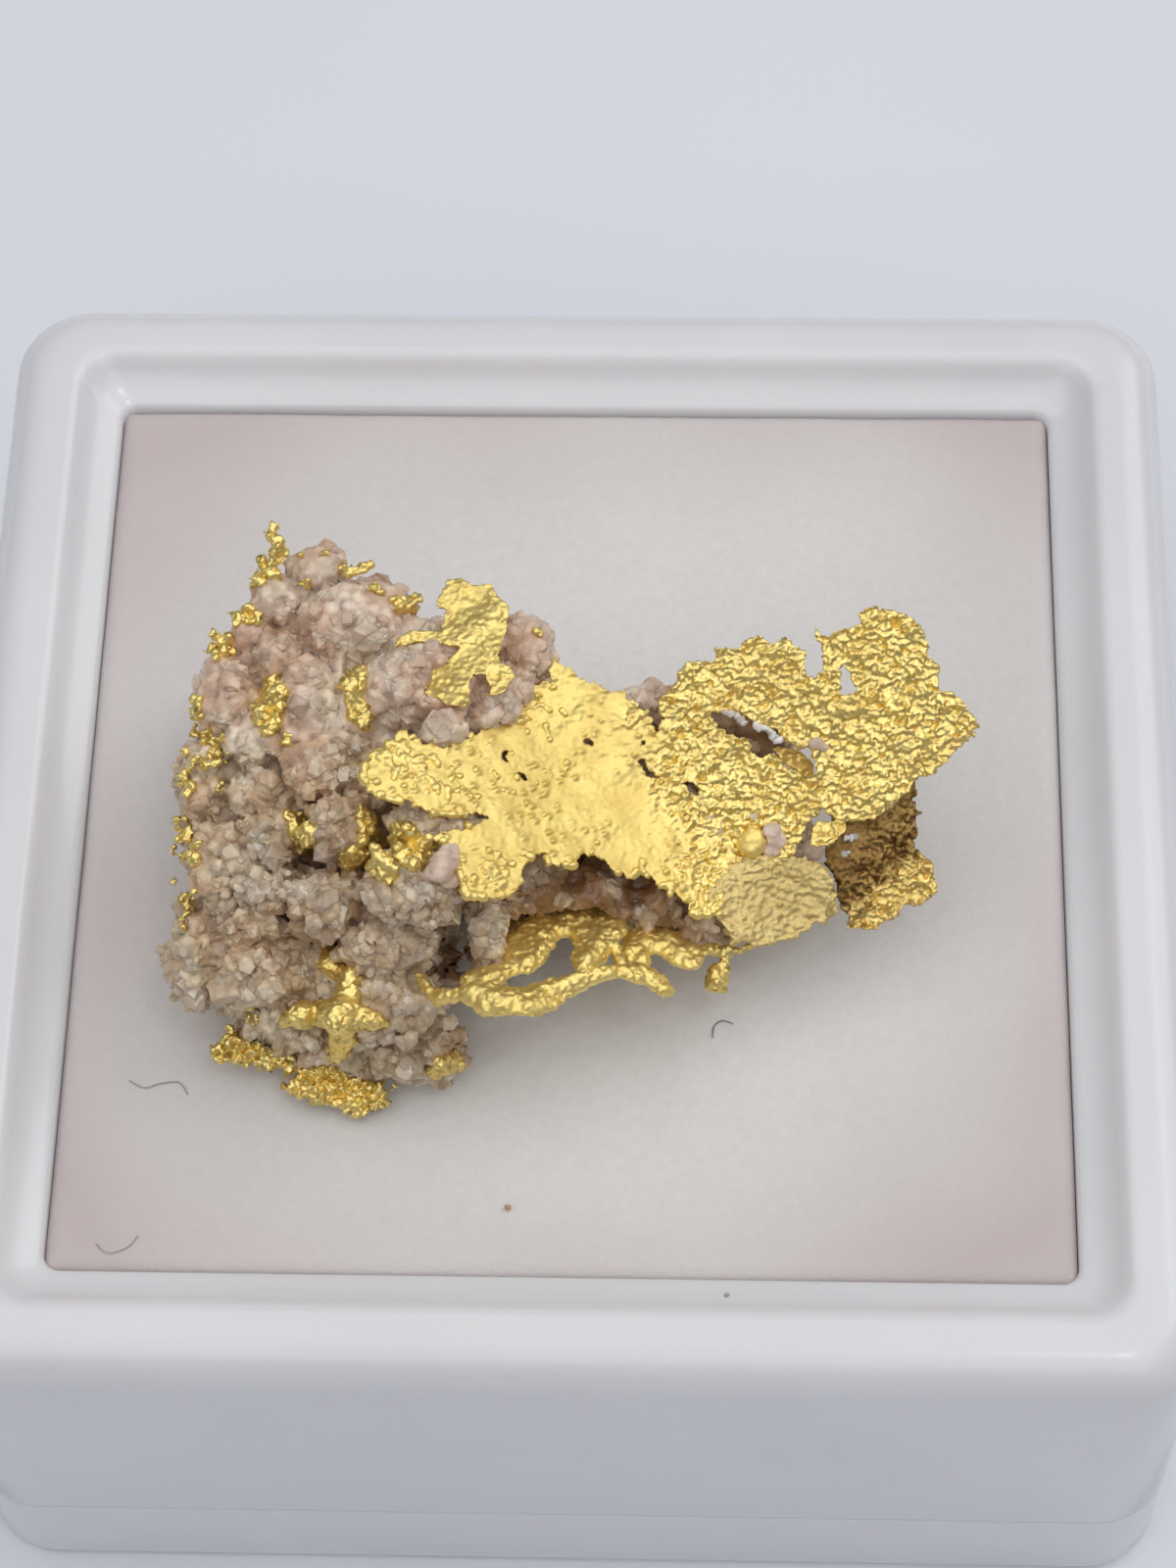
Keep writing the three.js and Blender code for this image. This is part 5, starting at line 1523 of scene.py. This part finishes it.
DRUSE_WIDTHS = (0.36, 0.45, 0.55, 0.68, 0.85)
GRAIN_WIDTHS = (0.45, 0.6, 0.8, 1.05)
bead_tree = search_tree(gold_beads)
druse, druse_painted = grow(sites, 6500, DRUSE_WIDTHS, (0.22, 0.36), 0.25, 0.2, 31)
finish_piece("quartz_druse", druse, druse_quartz, (), druse_painted, sharp=24)
grains, grains_painted = grow(smooth_sites, 2600, GRAIN_WIDTHS, (0.32, 0.4), 0.0, 0.04, 33)
finish_piece("quartz_grains", grains, stone_quartz, (), grains_painted, sharp=26)

# %% [markdown]
# ## Small things in and on the plate
#
# A tab of foil curls up out of the plate's lower edge, with a small smooth nub of gold to its
# left, and an ochre flap curls down into the slit. Thin films of quartz lie on the gold: a
# few thin balls, welded and given weak facets. White bits of quartz are caught in the slit's
# upper edge and in the holes of the brown leaf.

# %% Outlines and places of the small things
TAB = Outline([
    (7.84, -0.3), (8.05, -0.02), (8.34, -0.1), (8.66, 0.05), (9.05, -0.1), (8.88, -0.55), (8.6, -0.84),
    (8.21, -0.95), (7.86, -0.9),
])
NUB = Outline([
    (5.5, -0.69), (5.9, -0.33), (6.2, -0.45), (6.38, -0.94), (6.25, -1.3), (5.83, -1.4), (5.5, -1.1),
])
FLAP = Outline([
    (6.6, 2.75), (7.1, 2.75), (7.6, 2.55), (7.95, 2.1), (8.0, 1.65), (7.7, 1.6), (7.3, 1.9), (6.9, 2.2),
])
# Each film is x, y, how far it stands out of the leaf and its radius.
QUARTZ_FILMS = [
    (6.6, -0.4, 0.08, 0.26), (6.75, -0.75, 0.08, 0.28), (6.6, -1.1, 0.06, 0.22), (8.05, 2.9, 0.05, 0.2),
    (8.3, 2.75, 0.05, 0.14), (-4.1, -1.7, -0.15, 0.38), (-4.3, -2.1, -0.3, 0.36), (-3.95, -2.35, -0.45, 0.3),
    (-4.0, -1.3, -0.1, 0.26), (7.85, -1.15, -0.5, 0.34),
]
WHITE_BITS = [
    (5.05, 4.05), (5.2, 3.98), (5.42, 3.88), (5.5, 3.75), (5.6, 3.66), (6.05, 3.55), (6.2, 3.45),
    (6.38, 3.45), (6.5, 3.32), (6.6, 3.2), (6.68, 3.08), (6.78, 3.0), (9.05, -0.7), (9.2, -0.66),
    (9.32, -0.58), (8.95, -1.28), (9.05, -1.2),
]
print(len(QUARTZ_FILMS), "films and", len(WHITE_BITS), "white bits")

# %% Tab, nub, flap, films and white bits
FILM_VOXEL = 0.04


def tab_height(x, y):
    return main_height(x, y) + 0.2 + 0.35 * (0.2 - y)


def flap_height(x, y):
    return main_height(x, y) - 0.25 - 0.35 * max(0.0, x - 6.6)


def nub_height(x, y):
    return main_height(x, y) + 0.15


gold_leaf("gold_tab", TAB, tab_height, YELLOW, (), 21.0, 0.4, rag=0.12)
knotty_gold("gold_nub", sheet_of_beads(NUB, nub_height, 0.24, 25, 0.1), tilt=0.15, satin=1.0, calm=6)
gold_leaf("gold_flap", FLAP, flap_height, BROWN, (), 23.0, 0.35, rag=0.05)
films = bmesh.new()
lean = Euler((math.atan(SLOPE_RISE), 0, 0)).to_matrix().to_4x4()
for x, y, proud, radius in QUARTZ_FILMS:
    thin = (radius * 1.25, radius, 0.09 if proud >= 0 else radius * 0.6)
    place = placed(lift(x, y, main_height(x, y) + proud - 0.06), thin, lean)
    bmesh.ops.create_icosphere(films, subdivisions=3, radius=1, matrix=place)
films = remeshed(films, FILM_VOXEL)
films.normal_update()
for vert in films.verts:
    vert.co += vert.normal * (facets(vert.co, 0.35, 0.15, 6.0) + noise.noise(vert.co * 3) * 0.04)
finish_piece("quartz_films", films, blush_quartz)
bits = bmesh.new()
for number, (x, y) in enumerate(WHITE_BITS):
    turn = Euler((number, number * 1.7, number * 2.3)).to_matrix().to_4x4()
    top = main_height(x, y) if y > 0 else shaded_height(x, y) - 0.1
    place = placed(lift(x, y, top + 0.02), (0.16, 0.12, 0.1), turn)
    bmesh.ops.create_icosphere(bits, subdivisions=2, radius=1, matrix=place)
for vert in bits.verts:
    vert.co += noise.noise_vector(vert.co * 5) * 0.1
finish_piece("quartz_white_bits", bits, white_quartz, sharp=25)

# %% [markdown]
# ## Lint and dust
#
# A few fibres and specks of dirt lie on the pad and the rim, and they belong to the real thing
# as it is. Each fibre is a thin tube of five sides along a smooth curve, made of short closed
# pieces that overlap, and each speck is an uneven ball.

# %% Lint
FIBRES = [
    ("fibre", "#8F8A90", 0.035,
     [(-13.9, -9.7), (-13.4, -9.95), (-12.9, -9.8), (-12.3, -9.75), (-12.0, -10.15)]),
    ("hook", "#6F6A6E", 0.04, [(5.35, -7.45), (5.0, -7.35), (4.75, -7.55), (4.7, -7.95)]),
    ("hair", "#8C8388", 0.03, [(-14.5, -15.3), (-14.1, -15.6), (-13.5, -15.4), (-13.2, -15.0)]),
]
STEPS_PER_SPAN = 6
CRUMBS = [(-1.65, -13.9, 0.11, "#C98B3F"), (5.2, -17.2, 0.09, "#6E5A4C")]


def lint(colour):
    m = new_material("lint")
    where = add_node(m, "ShaderNodeTexCoord").outputs["Object"]
    uneven = add_node(m, "ShaderNodeTexNoise", Vector=where, Scale=per_mm(0.8), Detail=1.0)
    tone = add_node(
        m, "ShaderNodeValToRGB", stops=[(0.3, colour), (0.8, "#B5AEB0")], Fac=uneven.outputs["Fac"],
    )
    shader = add_node(m, "ShaderNodeBsdfPrincipled", Base_Color=tone.outputs["Color"], Roughness=0.8)
    return finish_material(m, shader)


def smooth_run(points):
    """Points on a Catmull-Rom curve through the given ones."""
    ends = [points[0], *points, points[-1]]
    run = []
    for a, b, c, d in zip(ends, ends[1:], ends[2:], ends[3:]):
        for i in range(STEPS_PER_SPAN):
            t = i / STEPS_PER_SPAN
            run.append(tuple(
                0.5 * (2 * q + (r - p) * t + (2 * p - 5 * q + 4 * r - s) * t * t
                       + (3 * q - p - 3 * r + s) * t ** 3)
                for p, q, r, s in zip(a, b, c, d)
            ))
    return run + [points[-1]]


def tube(run, width):
    bm = bmesh.new()
    for a, b in zip(run, run[1:]):
        start, stop = Vector((*a, width * 0.7)), Vector((*b, width * 0.7))
        way = stop - start
        turn = way.to_track_quat("Z", "Y").to_matrix().to_4x4()
        bmesh.ops.create_cone(
            bm, cap_ends=True, segments=5, radius1=width / 2, radius2=width / 2, depth=way.length * 1.1,
            matrix=placed((start + stop) / 2, turn=turn),
        )
    return bm


for name, colour, width, points in FIBRES:
    finish_piece("lint_" + name, tube(smooth_run(points), width), lint(colour), sharp=60)
for number, (x, y, radius, colour) in enumerate(CRUMBS, 1):
    crumb = bmesh.new()
    height = radius * 0.7 + (RIM_DROP if y < -pad_half - 1 else 0)
    place = placed((x, y, height), (radius, radius * 0.8, radius * 0.7))
    bmesh.ops.create_icosphere(crumb, subdivisions=2, radius=1, matrix=place)
    for vert in crumb.verts:
        vert.co += noise.noise_vector(vert.co * 9) * radius * 0.35
    finish_piece("crumb_" + str(number), crumb, lint(colour), sharp=40)

# %% [markdown]
# ## Floor, light and view
#
# The box stands on plain pale paper, with a painted shadow that makes it greyer on the viewer's
# side, as if the viewer shaded it; the gold and the plastic reflect it. A very large soft light
# hangs above and a little in front, as a window does. A second one stands to the right and
# behind, where the smooth part of the large leaf mirrors it, and a small lamp gives the bright
# points. The sky is pale above and darker near the horizon: gold shows its form only when it
# has something dark to reflect beside something bright. The colours are shown as a plain
# camera would, with no film curve.

# %% Floor


def matt_paper():
    m = new_material("matt_paper")
    where = add_node(m, "ShaderNodeTexCoord").outputs["Object"]
    soft = add_node(m, "ShaderNodeTexNoise", Vector=where, Scale=per_mm(60), Detail=1.0)
    tone = add_node(
        m, "ShaderNodeValToRGB", stops=[(0.3, "#E6E9F1"), (0.7, "#EAEDF4")], Fac=soft.outputs["Fac"],
    )
    # Painted shadow: the paper is greyer on the viewer's side.
    along = add_node(m, "ShaderNodeSeparateXYZ", Vector=where).outputs["Y"]
    near = add_node(m, "ShaderNodeMapRange", Value=along, From_Min=-0.04, From_Max=-0.3)
    shaded = add_node(
        m, "ShaderNodeMix", {"data_type": "RGBA"}, _0=near.outputs["Result"], _6=tone.outputs["Color"],
        _7=linear("#A9ABB1"),
    )
    shader = add_node(m, "ShaderNodeBsdfPrincipled", Base_Color=shaded.outputs[2], Roughness=0.9)
    return finish_material(m, shader)


FLOOR_REACH = 1.5
ground = bmesh.new()
bmesh.ops.create_grid(ground, x_segments=2, y_segments=2, size=FLOOR_REACH)
floor = new_object("floor", mesh_from("floor", ground))
floor.data.materials.append(matt_paper())
print("floor", floor.dimensions[:])

# %% Lights, sky and view


def soft_light(name, place, target, size, power, colour):
    """A square light of this size in metres and power in watts, turned to its target."""
    data = bpy.data.lights.new(name, "AREA")
    data.shape = "SQUARE"
    data.size = size
    data.energy = power
    data.color = linear(colour)[:3]
    light = new_object(name, data)
    light.location = place
    light.rotation_euler = (Vector(target) - Vector(place)).to_track_quat("-Z", "Y").to_euler()


soft_light("window", (-0.04, -0.16, 0.6), (-0.04, -0.15, 0.0), 1.0, 2.75, "#FFFDFA")
soft_light("second window", (0.42, 0.28, 0.46), (0, 0, 0.02), 0.45, 0.84, "#FFFDFA")
soft_light("lamp", (0.12, -0.12, 0.55), (0, 0, 0.015), 0.05, 0.09, "#FFFFFF")


def sky():
    """Pale overhead and darker towards the horizon and below it."""
    world = bpy.data.worlds.new("sky")
    world.use_nodes = True
    world.node_tree.nodes.clear()
    where = add_node(world, "ShaderNodeTexCoord").outputs["Generated"]
    height = add_node(world, "ShaderNodeSeparateXYZ", Vector=where).outputs["Z"]
    strength = add_node(world, "ShaderNodeMapRange", Value=height, From_Min=-0.1, To_Min=0.05, To_Max=0.46)
    tint = add_node(world, "ShaderNodeValToRGB", stops=[(0.0, "#EFE2E2"), (0.8, "#EDF1F8")], Fac=height)
    glow = add_node(
        world, "ShaderNodeBackground", Color=tint.outputs["Color"], Strength=strength.outputs["Result"],
    )
    add_node(world, "ShaderNodeOutputWorld", Surface=glow.outputs[0])
    return world


bpy.context.scene.world = sky()
bpy.context.scene.view_settings.view_transform = "Standard"
